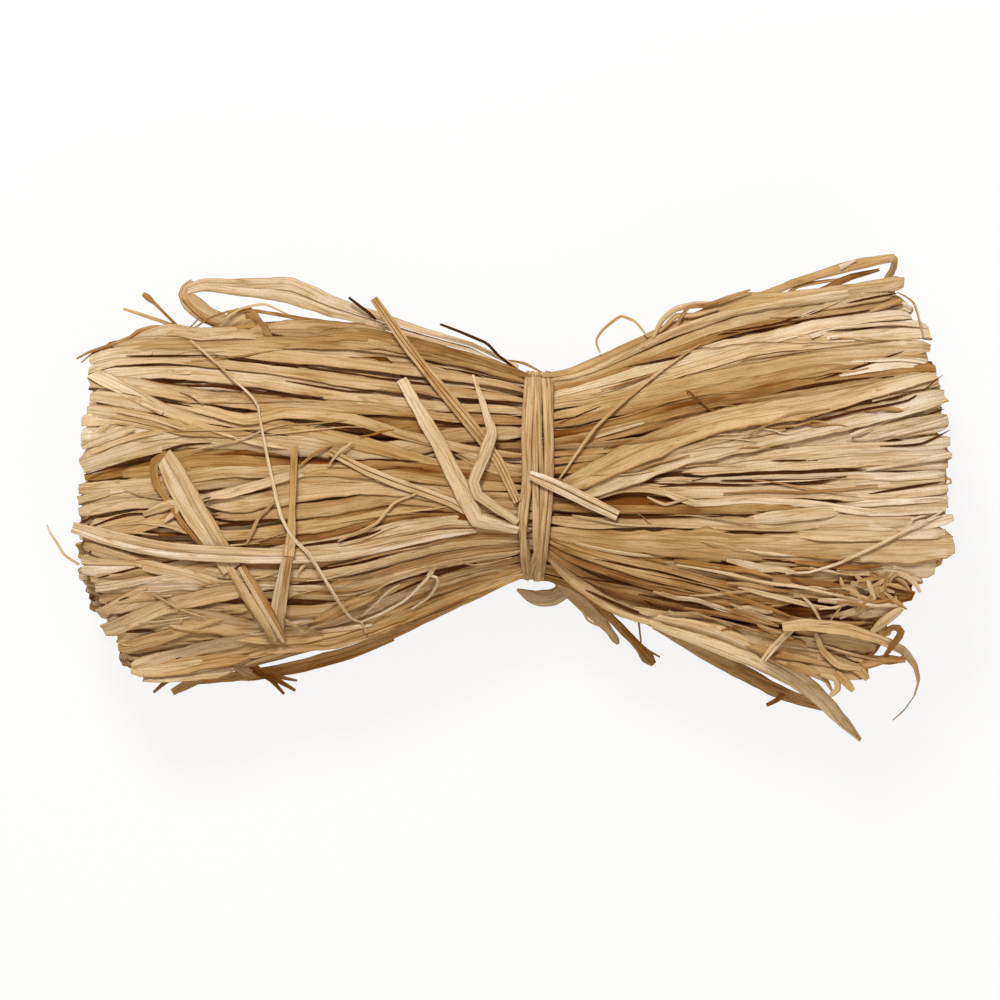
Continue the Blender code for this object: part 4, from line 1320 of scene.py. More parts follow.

# Dark brown and matt: the leaf's rind on the threads at the back, painted shade in the grooves.
brown_rind = raffia_material("brown_rind", ("#3c1e06", "#502c0c", "#6a4216"))
GAP_SHADE_LIFT = 0.45  # height above the skin
GAP_SHADE_SHOWS = 0.85  # share of a groove's width that a sliver fills
GAP_SHADE_WIDEST = 1.2
SLIVER_FOLD = 0.1 * MM
SLIVER_SIDES = 6
# The slivers in the grooves between the strips on top are painted shade.
gap_shade_rails = []
for width, *path in TOP_GAP_SHADE:
    rows = np.array([(x, y, GAP_SHADE_LIFT, min(GAP_SHADE_SHOWS * width, GAP_SHADE_WIDEST)) for x, y in path])
    strip = over_top(rows, sharp=0.4, curl=0.1, tone=0.4, tint=0.6)
    taper = np.sin(np.linspace(0.05, math.pi - 0.05, len(strip["along"]))) ** 0.6
    strip["width"] = strip["width"] * taper
    gap_shade_rails.append(strip)
piece_of_strips("rind_slivers", {SLIVER_SIDES: gap_shade_rails}, brown_rind, "bundle_raffia", [],
                fold=SLIVER_FOLD)


# ------------------------------------------------------------------------------------------
# The tie
# One strip, split into strands and wound three times round the waist. Its ends and those of
# the strips knotted in with it stick out over the bundle's top.

# The tie's run: the direction round the waist in degrees, on through three turns from under
# the bundle, and the place along it in millimetres.
TIE_RUN = (
    (-90, 9.8), (0, 10.6), (31, 10.0), (45, 9.2), (62, 8.6), (99, 8.7), (110, 8.0), (123, 7.3),
    (146, 8.6), (165, 9.2), (270, 11), (360, 12.9), (420, 12.6), (460, 12.8), (483, 13), (506, 12.2),
    (525, 11.4), (630, 13.5), (720, 15.6), (751, 16.3), (782, 16.5), (805, 16.2), (830, 15.6),
    (843, 15.1), (866, 14.2), (885, 13.4), (990, 15),
)
TIE_CROSSINGS = (135, 505, 690)  # where its strands change sides
TIE_CROSSING = 34  # degrees of the tie's run that a change takes
TIE_STRANDS = ((-0.8, 2.1), (0.8, 2.0), (0.1, 1.0))  # each strand's place across and its width
TIE_LIFT = 1.35  # how far above the bundle's skin the strands lie
TIE_SHEET = 0.34 * MM  # their thickness: they are folded more often than the bundle's strips
TIE_CLEAR = 0.6 * MM  # the least height of their middle line above the table
STRAND_SIDES = 10


def strands(make, rows, count, tone, rng, tint=0.0, sharp=0.7, apart=0.0):
    """A strip that dried split or folded into strands, side by side on one route. Where they lie
    apart, a darker, browner strip laid under them shows between them: painted shade of the gaps."""
    made = []
    if apart:
        # The darker strip under the strands is painted shade of the gaps between them.
        low = [(x, y, z - 0.5, width * 0.9) for x, y, z, width in rows]
        made.append(make(low, sharp=sharp, tone=tone - 0.42, tint=tint + 0.7, crease=0.0))
    for number in range(count):
        shift = (number - (count - 1) / 2) / count
        rows_here = [(x, y, z + rng.normal(0, 0.12), *rest) for x, y, z, *rest in rows]
        made.append(make(rows_here, shift=shift, share=(1.12 - apart) / count, sharp=sharp,
                         tone=tone + rng.normal(0, 0.07), tint=tint + rng.normal(0, 0.15),
                         crease=rng.choice([-0.1, 0.1])))
    return made


def tie_rail(rng, place, width):
    """One strand of the tie, from its place across the tie and its width in millimetres."""
    degrees = np.arange(TIE_RUN[0][0], TIE_RUN[-1][0] + 1, 5.0)
    turns = degrees / 360
    middle = np.interp(degrees, *zip(*TIE_RUN))
    middle = smoothed(middle[:, None], 2)[:, 0]
    side_of = np.ones_like(degrees)
    lift = np.full_like(degrees, TIE_LIFT)
    for number, crossing in enumerate(TIE_CROSSINGS):
        past = np.clip((degrees - crossing) / TIE_CROSSING + 0.5, 0, 1)
        side_of *= np.cos(math.pi * past)
        lift += np.sign(place) * (1 - 2 * (number % 2)) * 0.4 * np.sin(math.pi * past)
    wander = 0.3 * np.sin(turns * rng.uniform(9, 19) + rng.uniform(0, 6.3))
    x = (middle + place * side_of + wander) * MM
    lift += 0.22 * np.sin(turns * 7.3 + rng.uniform(0, 6.3)) + rng.uniform(-0.15, 0.15)
    points = bundle_point(x, np.radians(degrees), -lift * MM)
    points[:, 2] = np.maximum(points[:, 2], TIE_CLEAR)
    side = np.broadcast_to((1.0, 0.0, 0.0), points.shape)
    widths = width * (1 + 0.22 * np.sin(turns * 11.0 + rng.uniform(0, 6.3))) * MM
    roll = 0.3 * np.sin(turns * rng.uniform(8, 17) + rng.uniform(0, 6.3))
    return rail(points, side, widths, curl=0.12, roll=roll, tone=rng.uniform(0.42, 0.64), crease=0.15,
                tint=rng.normal(0.1, 0.2))


tie_raffia = raffia_material("tie_raffia", RAFFIA_TONES)
tie_dice = np.random.default_rng(4)
tie_rails = [tie_rail(tie_dice, *strand) for strand in TIE_STRANDS]
piece_of_strips("tie", {STRAND_SIDES: tie_rails}, tie_raffia, "tie_raffia", ["tie_strand"],
                thickness=TIE_SHEET)

TAIL_GAP = 0.27  # share of a split end's width that is left open between its strands

# The ends that stick out: the tone, the tint, into how many strands each split, and its rows of
# x, y, height above the skin and width.
TIE_TAILS = {
    "tan": (0.55, 0.5, 3, [
        (-42.8, 68.4, 3.4, 2.8), (-31.5, 52.2, 3.2, 3.6), (-22.3, 40.8, 2.6, 4.3), (-13.8, 30.4, 2.0, 4.3),
        (-6.2, 21, 1.6, 4.0), (-0.6, 13.4, 1.5, 3.6), (6, -0.7, 1.5, 2.8)]),
    "wide": (0.72, 0.1, 1, [
        (-33.4, 41, 2.2, 3.4), (-21.3, 20, 2.4, 4.6), (-12.9, 3, 2.6, 5.2), (-7.8, -7, 2.6, 4.6),
        (6.2, -10.4, 2.0, 2.6)]),
    "bent": (0.6, 0.2, 1, [
        (-9.1, 42.4, 2.4, 1.0), (-5.8, 33, 2.8, 2.2), (-2.5, 23.2, 3.2, 3.2), (-5.2, 15.4, 3.6, 3.8),
        (-9, 6.2, 4.0, 3.4), (-7.6, 1.6, 3.8, 3.2), (6, -7.6, 2.4, 2.4)]),
    "narrow": (0.7, 0.3, 2, [
        (-58, 16.4, 1.6, 2.4), (-45, 9.8, 1.5, 3.4), (-35.5, 6, 1.5, 3.6), (-26, 2.7, 1.4, 3.4),
        (-16.6, -0.8, 1.4, 3.2), (-11, -4, 1.4, 3.0), (6, -9.6, 1.2, 2.4)]),
    "short": (0.8, 0.1, 2, [
        (10, 8.6, 3.6, 3.0), (15, 6.6, 3.8, 4.4), (22, 3.4, 3.6, 4.8), (30.5, -0.8, 2.8, 4.6),
        (40, -5.4, 2.2, 3.8)]),
}
for tail_name, (tone, tint, count, rows) in TIE_TAILS.items():
    rails = strands(over_top, rows, count, tone, tie_dice, tint, 1.0, TAIL_GAP if count > 1 else 0.0)
    piece_of_strips(f"tail_{tail_name}", {STRAND_SIDES: rails}, tie_raffia, "tie_raffia",
                    [f"tie_tail_{tail_name}"])


# ------------------------------------------------------------------------------------------
# Loose strips
# Strips that worked free of the bundle when it was tied: they lie across its top, loop out at
# the back and hang out at the front and the ends. Most dried split into strands.

loose_raffia = raffia_material("loose_raffia", RAFFIA_TONES)
loose_dice = np.random.default_rng(17)

TAN = 0.34
STRAW = 0.55
PALE = 0.78

# The parts of each: the tone, the tint, into how many strands it split, and its rows of x, y,
# height above the skin and width.
LOOSE_ON_TOP = {
    "loose_strip_diagonal": [
        (STRAW, 0.1, 2, [
            (-114.5, 15.5, 2.0, 5.6), (-110.5, 8.5, 2.2, 7.6), (-104, -3.5, 2.2, 7.8), (-97, -14, 2.0, 7.2),
            (-91, -23.5, 1.6, 6.2)]),
        (STRAW, 0.2, 1, [
            (-92, -23, 1.5, 2.4), (-86, -33, 1.8, 3.0), (-80, -42, 2.6, 2.8), (-76.5, -48, 3.0, 1.6)]),
        (0.5, 0.3, 2, [
            (-88, -22.5, 1.6, 2.6), (-83, -30.5, 2.0, 3.6), (-78, -39, 2.6, 3.4), (-73, -48, 3.0, 2.0)]),
        (0.46, 0.3, 1, [
            (-113.4, 16.5, 2.4, 0.8), (-117.6, 12.6, 2.4, 2.6), (-116.8, 6, 2.2, 2.2), (-112, -1.5, 2.0, 1.8),
            (-107, -9, 1.8, 1.4), (-101, -16, 1.6, 1.0)]),
        (STRAW, 0.1, 1, [
            (-121, -5.0, 1.4, 1.2), (-115.6, -2.6, 1.9, 3.2), (-110.4, -1.0, 2.2, 2.8),
            (-109.6, -3.4, 2.0, 2.2), (-114.0, -7.4, 1.5, 1.0)])],
    "loose_strip_lengthwise": [
        (0.68, -0.1, 2, [
            (-145.2, -9.2, 2.0, 3.4), (-135, -12.2, 2.2, 4.8), (-124, -15.0, 2.6, 5.2),
            (-111, -17.3, 3.6, 5.2), (-94, -18.4, 3.8, 5.0), (-82, -18.9, 3.0, 5.0),
            (-68, -19, 2.4, 4.6), (-52, -18.0, 2.0, 4.2), (-36, -14.8, 1.7, 3.6),
            (-21, -11.8, 1.4, 3.0), (-8, -10.4, 1.0, 1.4)])],
    "loose_strip_upright": [
        (0.45, 0.3, 1, [
            (-70, 18.4, 2.6, 1.9), (-70.4, 6, 3.0, 1.7), (-70.5, -2, 3.2, 1.9), (-70.8, -11, 3.6, 2.8),
            (-71.6, -19, 4.2, 3.4)]),
        (0.42, -0.4, 2, [
            (-71, -15, 4.0, 2.8), (-73, -24, 3.2, 3.8), (-74.6, -33, 2.6, 4.8), (-75.6, -40.5, 2.2, 5.2),
            (-75, -47, 1.6, 2.4)]),
        (TAN, 0.7, 1, [
            (-68.9, 18.8, 2.9, 0.7), (-69.3, 6, 3.3, 0.6), (-69.7, -2, 3.5, 0.6), (-69.9, -9, 3.5, 0.5)])],
}


def loose_pieces(strips_by_node, make):
    """A piece for each node named, of strips whose rails this function makes."""
    for node, strips in strips_by_node.items():
        rails = [strand for tone, tint, count, rows in strips
                 for strand in strands(make, rows, count, tone, loose_dice, tint)]
        piece_of_strips(node.replace("loose_", "stray_"), {STRAND_SIDES: rails}, loose_raffia,
                        "loose_raffia", [node])


loose_pieces(LOOSE_ON_TOP, over_top)

# The same for strips that stand free, with their height above the table and, where a strip is
# turned about its run, its roll in degrees.
# The strips that lie low at the front and the curl under the tie have paler, warmer tones: painted light
# where the bundle shades them.
LOOSE_FREE = {
    "loose_loop_back_left": [
        (PALE, 0.1, 2, [
            (6, 44.5, 35.5, 3.0, 40), (-10, 52, 37, 3.6, 36), (-25, 56, 38, 4.4, 32),
            (-38, 60, 40, 5.2, 28), (-50, 63.6, 42, 5.8, 20), (-58, 66, 44, 6.6, 12),
            (-71, 71.2, 45.5, 8.4, 6), (-80, 71.9, 46.5, 6.8, 0), (-90, 72.4, 47, 5.2, 0),
            (-101, 73.2, 47, 4.0, 0), (-106.4, 71.4, 46.4, 3.0, 0)]),
        (0.66, 0.2, 1, [
            (-104, 74, 46.4, 2.6), (-107, 70.6, 45.8, 4.0), (-105.2, 67.4, 45, 5.6), (-102, 64.6, 44.4, 6.2),
            (-97.6, 62, 44.4, 5.6), (-92, 59.6, 44.8, 4.4)]),
        (TAN, 0.9, 1, [
            (-108, 69, 46.6, 0.9), (-104.8, 65.4, 45.4, 1.0), (-100, 61.4, 45, 1.0), (-94, 58.4, 45, 0.8)]),
        (0.62, 0.5, 1, [
            (-95, 57.5, 46, 3.4, 20), (-89.5, 61, 47.6, 7.4, 35), (-84.5, 63.6, 48, 4.4, -10)]),
        (0.55, 0.6, 1, [
            (-86, 65, 48.4, 1.8, 0), (-83, 61, 49, 7.0, 50), (-80, 55.4, 47.4, 5.0, 20)]),
        (0.5, 0.7, 1, [
            (-93.5, 55.8, 46.4, 3.0, -30), (-87.5, 57, 47.6, 6.0, -20), (-81.5, 57.4, 48.4, 5.4, 30),
            (-79.6, 60, 48, 1.6, 0)]),
        (0.3, 1.0, 1, [(-92, 57.6, 47.6, 0.9), (-87, 59, 48.6, 1.2), (-81, 59.4, 49, 1.0)]),
        (STRAW, 0.6, 1, [
            (-82, 57.8, 44, 4.6), (-70, 58.4, 45, 4.6), (-58, 57.6, 44, 4.0), (-48, 57, 42, 2.4)]),
        (TAN, 0.6, 1, [
            (-104, 58.4, 47, 0.5), (-99, 61.8, 48, 0.6), (-92, 64.2, 49, 0.8), (-85, 64.6, 49, 0.9),
            (-74, 62.8, 47, 1.2), (-58, 60, 44, 1.6), (-46, 59.4, 42, 1.4)]),
        (TAN, 0.8, 1, [
            (-107, 57, 47, 0.5), (-102.6, 61.6, 48, 0.5), (-101.4, 64, 48, 0.4)])],
    "loose_loop_back_right": [
        (STRAW, 0.5, 1, [
            (78, 67.3, 40, 1.6), (90, 70.0, 42, 2.2), (103, 75.0, 44.5, 2.4), (112, 77.6, 45.5, 2.8),
            (120, 79.8, 46, 3.4), (129, 81.6, 46, 2.8), (134.2, 82.2, 45.0, 2.6),
            (133.8, 78.4, 42.8, 3.4), (131.6, 74.8, 42, 3.2), (129.4, 72, 42, 2.2)]),
        (TAN, 0.5, 1, [
            (97, 69.6, 43, 1.0), (101, 72.6, 43.5, 1.2), (108, 74.0, 44, 1.2), (115, 75, 44, 0.8)]),
        (TAN, 0.7, 1, [
            (106, 70, 43, 1.2), (115, 74, 44, 2.0), (120, 76, 44, 2.0), (129, 78.3, 44, 0.9)]),
        (PALE, 0.0, 1, [(115.5, 79, 46.5, 2.0), (121, 81.6, 47, 0.7)])],
    "loose_thread_back_left": [
        (TAN, 0.9, 1, [
            (-105, 54.2, 43, 0.9), (-110.6, 60.0, 45, 0.9), (-117.6, 67.0, 46.6, 1.0),
            (-119.6, 68.8, 47, 2.0), (-121.4, 70.2, 47, 1.2)]),
        (STRAW, 0.6, 1, [
            (-106, 57.6, 43, 1.0), (-112.8, 60, 44, 1.1), (-120, 62.4, 44, 1.0), (-128, 65, 44, 0.8)])],
    "loose_split_back_left": [
        (TAN, 0.5, 1, [
            (-112, 58, 42, 2.0), (-118, 58.4, 42, 1.8), (-123, 57.2, 42, 1.8), (-125.4, 55.4, 42, 1.2),
            (-132, 52.8, 42, 1.2), (-139.4, 50.4, 42, 0.8), (-144, 48, 42, 0.5)]),
        (TAN, 0.4, 1, [(-134, 52.0, 41.6, 0.7), (-139, 49.6, 41, 0.6), (-142.5, 46.6, 41, 0.4)]),
        (TAN, 0.5, 1, [(-117, 55, 42, 1.4), (-122, 54.8, 42, 1.6), (-127, 52.6, 42, 0.8)])],
    "loose_curl_right": [
        (0.7, 0.6, 1, [
            (96, -43.2, 61.5, 2.8), (104, -42.4, 61.8, 3.8), (118, -44.0, 61, 3.6), (126, -46.4, 59.5, 3.2),
            (132, -48.6, 56, 3.0), (137.2, -51.4, 51, 2.8), (141.0, -56.0, 43, 2.3),
            (142.2, -61.6, 34, 2.1), (140.6, -67.0, 24, 1.9), (137.4, -71.4, 17, 1.6),
            (133.6, -74.8, 12, 0.5)])],
    "loose_thread_left": [
        (STRAW, 0.6, 1, [
            (-143, -22, 34, 0.8), (-148, -18.8, 36, 0.8), (-151.0, -14, 37, 0.7),
            (-153, -11.2, 37, 0.6), (-154.0, -8.4, 36.5, 0.4)])],
    "loose_strip_front_left": [
        (0.72, 1.3, 1, [
            (-104, -61.4, 23, 2.4, 6), (-92, -60.2, 23, 3.0, 4), (-78, -58.2, 22, 3.0, 2),
            (-64, -55.0, 21, 3.2, 0), (-50, -51.0, 20, 3.2, 0), (-38, -46.4, 20, 2.8, 4),
            (-26, -40.8, 22, 2.6, 8), (-14, -35.2, 24, 2.2, 12), (-4, -30.8, 26, 2.0, 16),
            (6, -26.0, 28, 1.6, 20)]),
        (0.26, 0.9, 1, [
            (-100, -60.6, 21, 1.2), (-84, -60.6, 21, 1.6), (-66, -57.6, 20, 1.4), (-50, -53.2, 19, 1.2),
            (-36, -47.4, 19, 1.0)]),
        (STRAW, 0.1, 1, [(-92, -55, 24, 3.6), (-87, -57.4, 23, 4.2), (-84, -60.4, 22, 3.4)])],
    "loose_stub_front_left": [
        (STRAW, 0.3, 1, [(-101, -60.6, 25, 2.4), (-107, -63.0, 24, 3.0), (-111.4, -65.4, 22, 2.2)]),
        (TAN, 0.3, 1, [(-110, -59.6, 25, 1.4), (-114, -62, 24, 1.4), (-117.8, -65.4, 23, 0.8)])],
    "loose_fork_front_left": [
        (TAN, 0.5, 1, [
            (-92, -53.6, 30, 1.4), (-87, -54.6, 30, 2.2), (-81, -58.4, 28, 2.0), (-75, -61.6, 26, 1.6),
            (-69.6, -64.8, 24, 0.9)]),
        (TAN, 0.6, 1, [(-84, -58, 27, 1.4), (-78, -61, 25, 1.5), (-73.4, -66, 24, 0.8)]),
        (TAN, 0.4, 1, [(-80, -57.6, 28, 1.2), (-74, -60.4, 27, 1.3), (-69, -61.4, 26, 0.7)])],
    "loose_strip_front_right": [
        (0.8, 0.9, 2, [
            (44, -38.2, 43, 2.4, 34), (50, -40.4, 45.8, 4.2, 34), (56.7, -42.6, 48.6, 6.0, 32),
            (66, -45, 50.6, 8.4, 30), (75.5, -48, 51, 9.6, 26), (84, -51.5, 50, 9.0, 20),
            (90, -54.4, 47.4, 8.0, 14), (96, -57.6, 42.6, 7.2, 10), (102, -61.5, 35.6, 6.4, 8),
            (108.8, -67, 25, 5.6, 6), (114.2, -72.6, 14, 4.8, 4), (118.4, -77, 6, 3.6, 0),
            (122.6, -81.6, 1.3, 1.4, 0)])],
    "loose_strip_front_right_deep": [
        (0.66, 1.2, 1, [
            (52, -43.4, 24, 0.8), (60, -47.2, 20, 2.2), (66, -50.4, 16, 3.4), (75.5, -55.1, 10, 4.6),
            (85, -59.8, 6.4, 4.8), (93, -64.4, 4.2, 4.2), (102, -68, 2.6, 3.4), (113, -71.6, 1, 1.6)]),
        (TAN, 0.9, 1, [
            (80, -56.6, 11, 1.2), (86, -59.8, 8.4, 1.8), (93, -63, 6.4, 2.0), (100, -66.2, 5, 1.8),
            (109, -69, 3, 1.4)]),
        (TAN, 0.9, 1, [(97, -66.4, 5, 1.2), (93.4, -68.4, 4, 1.6), (90.6, -69.8, 3.4, 1.2)])],
    "loose_end_deep": [
        (0.3, 0.9, 1, [
            (24, -27.4, 28, 2.2), (32, -34.6, 21, 2.6), (37.8, -40.2, 16, 2.6), (43.4, -45.9, 12, 2.6),
            (47.6, -50.4, 9, 2.8), (50.2, -53.4, 8, 4.2), (52.4, -55.8, 7, 2.0)]),
        (TAN, 0.9, 1, [(47, -40, 15, 0.7), (47.4, -44, 13, 0.6), (48, -48.4, 11, 0.5)]),
        (TAN, 0.9, 1, [(50, -51, 9, 0.9), (54.4, -53.4, 8, 0.5)])],
    "loose_end_rounded": [
        (0.7, 1.0, 1, [
            (17, -23.6, 27, 3.0), (22.7, -30.6, 20, 3.8), (28.3, -35.5, 15, 4.2), (34, -40.7, 10, 3.6),
            (37.3, -44.5, 7, 2.4), (39.2, -47.4, 5, 2.6), (40.2, -49, 4.4, 1.0)]),
        (PALE, 0.2, 1, [
            (13, -15.6, 38, 0.9), (18, -21.4, 32, 1.6), (25, -28.8, 26, 2.2), (31, -34.8, 20, 2.4),
            (37, -40.6, 15, 1.4)])],
    "loose_curl_under_tie": [
        (1.0, 0.9, 1, [
            (20.5, -22.5, 10.4, 3.4), (22.4, -27.5, 10, 4.6), (21.4, -31.0, 9.4, 5.2), (17.5, -33.4, 9, 5.4),
            (12.5, -33.6, 8.6, 4.8), (8.8, -32.0, 8, 3.2), (5.8, -30.4, 7.6, 0.9)])],
}


def free_strip(rows, step=1.6, shift=0.0, share=1.0, sharp=0.0, **looks):
    """The rail of a strip that stands free, from rows in millimetres of x, y, z, width, and if
    need be its roll in degrees. Its face starts upwards and follows the strip's bends."""
    rows = on_curve(rows, step, sharp)
    points = rows[:, :3] * MM
    points[:, :2] *= drawn_in(points[:, 2:3])
    run = unit(np.gradient(points, axis=0))
    face = np.empty_like(run)
    up = np.array([0.0, 0.0, 1.0])
    for i, way in enumerate(run):
        up = up - way * up.dot(way)
        up = up / max(np.linalg.norm(up), 1e-9)
        face[i] = up
    side = np.cross(run, face)
    points, widths = beside(points, side, rows[:, 3], shift, share)
    roll = np.radians(rows[:, 4]) if rows.shape[1] > 4 else 0.0
    return rail(points, side, widths, roll=roll, **looks)


loose_pieces(LOOSE_FREE, free_strip)


# ------------------------------------------------------------------------------------------
# Threads
# Hairs and slivers that tore off the strips' edges. They lie on top of the bundle or stick out
# past its edge by a few millimetres.

# Each row gives the tone from 0 to 9, the width, the height above the skin, and then x and y of
# the thread's run.
THREADS = [
    (7, 0.9, 2.8, (-105, 54.4), (-93, 43.5), (-84, 35), (-82, 31.5), (-81.5, 28), (-80.4, 22)),
    (7, 1.25, 4.2, (-82.2, 32.6), (-81.5, 28), (-78, 10), (-74, -6), (-70, -13), (-65, -18), (-55, -34),
     (-50, -40.4), (-46.5, -41.5)),
    (7, 1.3, 2.2, (-47.5, -41.6), (-40, -38.5), (-32, -34), (-24, -26), (-22.4, -23.6), (-24.6, -25.6),
     (-21.6, -26.2), (-21, -28.4), (-24, -33), (-30, -37)),
    (7, 0.9, 1.8, (-46.8, -41.8), (-45.2, -45.4)),
    (7, 1.0, 1.9, (-47, -39.6), (-42, -35), (-38, -31), (-34, -28.6)),
    (3, 1.1, 1.6, (-68, 11.5), (-63, 15.8), (-57, 19)),
    (3, 1.2, 1.7, (-76, 0), (-82, -6), (-86, -15)),
    (4, 1.1, 1.7, (-90, -27), (-82, -35), (-75, -39.5), (-68, -43.6), (-60, -45)),
    (5, 1.0, 1.7, (-68, -44.5), (-60, -42), (-50, -38)),
    (6, 1.0, 1.7, (-55, -14), (-42, -8), (-36, -1), (-28, 2.4)),
    (6, 1.1, 1.7, (-62, -20), (-66, -21.5), (-69, -25)),
    (4, 0.7, 1.9, (-22, -21.8), (-15, -20.3), (-10, -22), (-6, -22), (4, -19.5)),
    (5, 1.0, 1.8, (-118, -32), (-108, -37.4), (-100, -40)),
    (5, 1.0, 2.6, (-58, 12), (-55, 16), (-50, 19.6)),
    (4, 1.2, 1.8, (20, 7), (32, 24), (44, 35.4), (56, 45), (68, 53)),
    (7, 1.1, 1.8, (150, -4), (135, -12), (115, -21.5), (105, -24.5), (97, -25)),
    (6, 1.1, 1.8, (60, -22), (75, -24.5), (90, -28), (102, -29.5), (122, -34), (136, -36)),
    (6, 1.4, 2.6, (112, -41.5), (102, -42), (97, -45), (92, -50), (88, -55.5)),
    (7, 1.1, 2.6, (100, -44), (95, -48.6), (90, -54.6)),
    (7, 1.2, 2.0, (102, -32), (106, -36), (109, -41.5)),
    (6, 0.8, 2.0, (116, -36), (112, -41)),
    (2, 0.9, 1.2, (3, 47.5), (8, 46.5), (14, 43.5)),
    (6, 1.1, 1.5, (34, 50), (32.5, 54), (35, 58), (41, 62.5), (46, 60.5), (50, 55.5)),
    (5, 2.0, 1.5, (52, 55), (55, 61), (59, 64.6), (66, 66.5), (74, 66.8)),
    (4, 1.8, 1.5, (54, 57), (60, 62.6), (66, 62.8), (74, 65)),
    (3, 1.4, 2.0, (60, 60), (64, 65.4), (70, 66), (78, 69), (85, 71.4)),
    (3, 0.8, 1.5, (135, 70.5), (138, 69), (140.5, 67), (142, 62), (142.5, 60), (143.5, 55)),
    (4, 1.0, 0.5, (151, 7.3), (153.4, 7), (153.6, 6), (151.5, 5.2)),
    (6, 1.8, 1.5, (134.6, -24.8), (138.7, -26.2), (141.4, -28.9), (142.7, -31.4)),
    (5, 1.6, 1.8, (131.9, -27.2), (129.2, -31.4)),
    (5, 2.0, 2.0, (124.4, -26.5), (125.8, -29.9), (127.3, -33.7)),
    (4, 1.6, 1.2, (127.2, -25.7), (132.6, -25.3), (137.4, -28.2), (139.1, -30.9)),
    (1, 2.6, 0.6, (133, -31.2), (138, -31.4), (140.2, -32.1), (138.7, -33.4), (134, -33.6)),
    (6, 3.6, 2.2, (136.6, -36.7), (132.6, -39.4), (129.2, -42.2), (126, -45)),
    (7, 2.6, 1.8, (108, -34), (119, -34.7), (127.8, -35.7), (136, -35.7)),
    (2, 2.6, 1.2, (129.5, -46), (132.6, -43.4), (135, -43.2), (136.2, -45), (134.4, -47.8), (130.6, -53)),
    (1, 2.0, 0.8, (129.9, -46.2), (128.2, -49.6), (126.2, -53)),
    (5, 6.0, 1.2, (108, -46.8), (116, -48), (127.4, -50.4)),
    (5, 2.6, 2.0, (107, -45), (109.5, -51), (115, -56), (122.6, -57.4)),
    (2, 3.2, 1.0, (119, -57), (126, -55.6), (131, -54), (137.8, -54.4)),
    (5, 3.4, 1.6, (118, -55.6), (122, -57.6), (124.8, -61)),
    (4, 3.0, 1.6, (114, -58.4), (117, -61.4), (120, -64.8)),
    (5, 2.4, 1.2, (109, -59.4), (114.2, -60.8), (114.6, -64.4), (112, -66.6)),
    (6, 0.9, 1.8, (-96, 60), (-88, 65), (-80, 66.6), (-72, 63)),
    (3, 0.8, 2.4, (28, -38), (30, -41), (34, -43)),
    (7, 1.0, 1.6, (50, 1), (56, -1.5), (64, 0.5)),
    (6, 1.0, 1.8, (-130, 30), (-118, 27.5), (-108, 24)),
    (5, 0.8, 1.8, (-136, -14), (-126, -11), (-116, -12)),
    (4, 0.9, 1.6, (84, 22), (98, 29), (112, 31)),
    (3, 0.9, 1.8, (72, -40), (86, -44), (98, -49)),
]
thread_rails = []
for tone, width, lift, *path in THREADS:
    rows = [(x, y, lift + loose_dice.normal(0, 0.25), width) for x, y in path]
    thread = over_top(rows, sharp=0.6, tone=tone / 9, tint=loose_dice.normal(0.15, 0.3))
    place = thread["along"] / thread["along"][-1]
    thread["width"] = thread["width"] * np.sin(math.pi * (0.08 + 0.84 * place)) ** 0.5
    thread_rails.append(thread)


def flow_thread(rng, x, length, share, slant, width, lift):
    """A thread that runs with the strips: share is its place across the bundle from the front,
    and slant how far it strays from their run, in millimetres."""
    stations = x + np.linspace(-0.5, 0.5, 5) * length
    back, front = (bundle_point(stations * MM, np.full(5, angle), 0.0)[:, 1] / MM for angle in (0, math.pi))
    stray = np.linspace(-0.5, 0.5, 5) * slant + rng.normal(0, 0.35, 5)
    y = front + (back - front) * share + stray
    rise = lift * rng.uniform(0.6, 1.4, 5)
    taper = width * np.array([0.5, 1.0, 1.1, 0.9, 0.4])
    return over_top(np.stack([stations, y, rise, taper], 1), step=2.4, sharp=rng.uniform(0.3, 1),
                    tone=rng.uniform(0.15, 0.85), tint=rng.normal(0.3, 0.5))


# Thin threads lie all over the top, clear of the tie and short of the ends.
FINE_THREADS = 64
FINE_ENDS = (-130, 146)
for _ in range(FINE_THREADS):
    length = loose_dice.uniform(14, 55)
    wing = loose_dice.choice([-1, 1])
    x = TIE_X / MM + wing * (10 + length / 2 + loose_dice.uniform(0, 112))
    if FINE_ENDS[0] < x - length / 2 and x + length / 2 < FINE_ENDS[1]:
        thread_rails.append(flow_thread(loose_dice, x, length, loose_dice.uniform(0.04, 0.96),
                                        loose_dice.normal(0, 2.2), loose_dice.uniform(0.35, 0.9), 1.1))

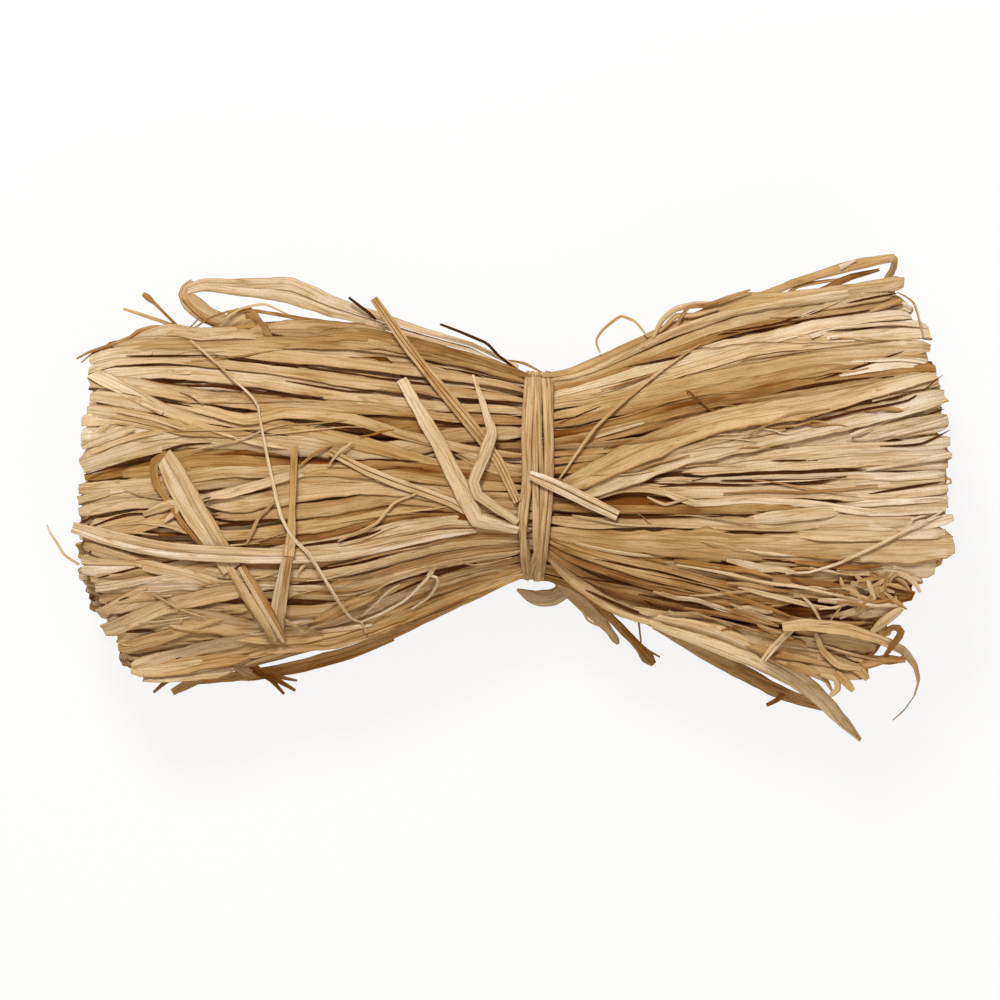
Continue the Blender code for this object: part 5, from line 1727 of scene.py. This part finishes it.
# Torn strips lie in a tangle along the front of the right end.
TANGLE_STRIPS = 28
TANGLE_RUN = (58, 134)
for _ in range(TANGLE_STRIPS):
    length = loose_dice.uniform(10, 34)
    x = min(loose_dice.uniform(*TANGLE_RUN), TANGLE_RUN[1] - length / 2)
    thread_rails.append(flow_thread(loose_dice, x, length, loose_dice.uniform(0.03, 0.3),
                                    length * loose_dice.normal(0, 0.1), loose_dice.uniform(0.9, 2.6), 1.3))

# Short torn lengths lie in a nest at the right end's front corner, each bent its own way.
NEST_LENGTHS = 26
NEST_X = (115, 135)
NEST_Y = (-36, -26)
for _ in range(NEST_LENGTHS):
    x, y = loose_dice.uniform(*NEST_X), loose_dice.uniform(*NEST_Y)
    turn = loose_dice.normal(2.4, 0.9)
    half = loose_dice.uniform(3, 6.5)
    along = np.linspace(-1, 1, 5)
    turns = turn + loose_dice.normal(0, 0.35) * along
    steps = half * along
    lift = np.full(5, loose_dice.uniform(1.2, 2.6))
    rows = np.stack([x + steps * np.cos(turns), y + 0.7 * steps * np.sin(turns), lift,
                     1.6 - np.abs(along)], 1)
    thread_rails.append(over_top(rows, sharp=0.3, tone=loose_dice.uniform(0.2, 0.7), tint=0.4))
THREAD_FOLD = 0.3 * MM
piece_of_strips("threads", {SLIVER_SIDES: thread_rails}, loose_raffia, "loose_raffia", [],
                fold=THREAD_FOLD)

# Slivers of brown rind that stick out at the back: x, y, the height above the table and the width.
RIND_THREADS = [
    [(-20.4, 59.8, 43.5, 0.8), (-12.8, 56.9, 42.5, 1.0), (-4.4, 53.2, 40.8, 1.0), (-0.6, 49.2, 39, 1.0),
     (3.4, 46, 37.4, 1.0), (8.4, 42.4, 35.6, 0.8)],
    [(-51.4, 68.9, 46, 0.9), (-48, 66.2, 44.8, 1.1), (-44.6, 63.6, 43.2, 1.1), (-42.2, 61.4, 41.6, 0.9)],
]
rind_threads = [free_strip(rows, sharp=0.8, tone=0.4) for rows in RIND_THREADS]
piece_of_strips("threads_brown", {SLIVER_SIDES: rind_threads}, brown_rind, "loose_raffia", [],
                fold=SLIVER_FOLD)
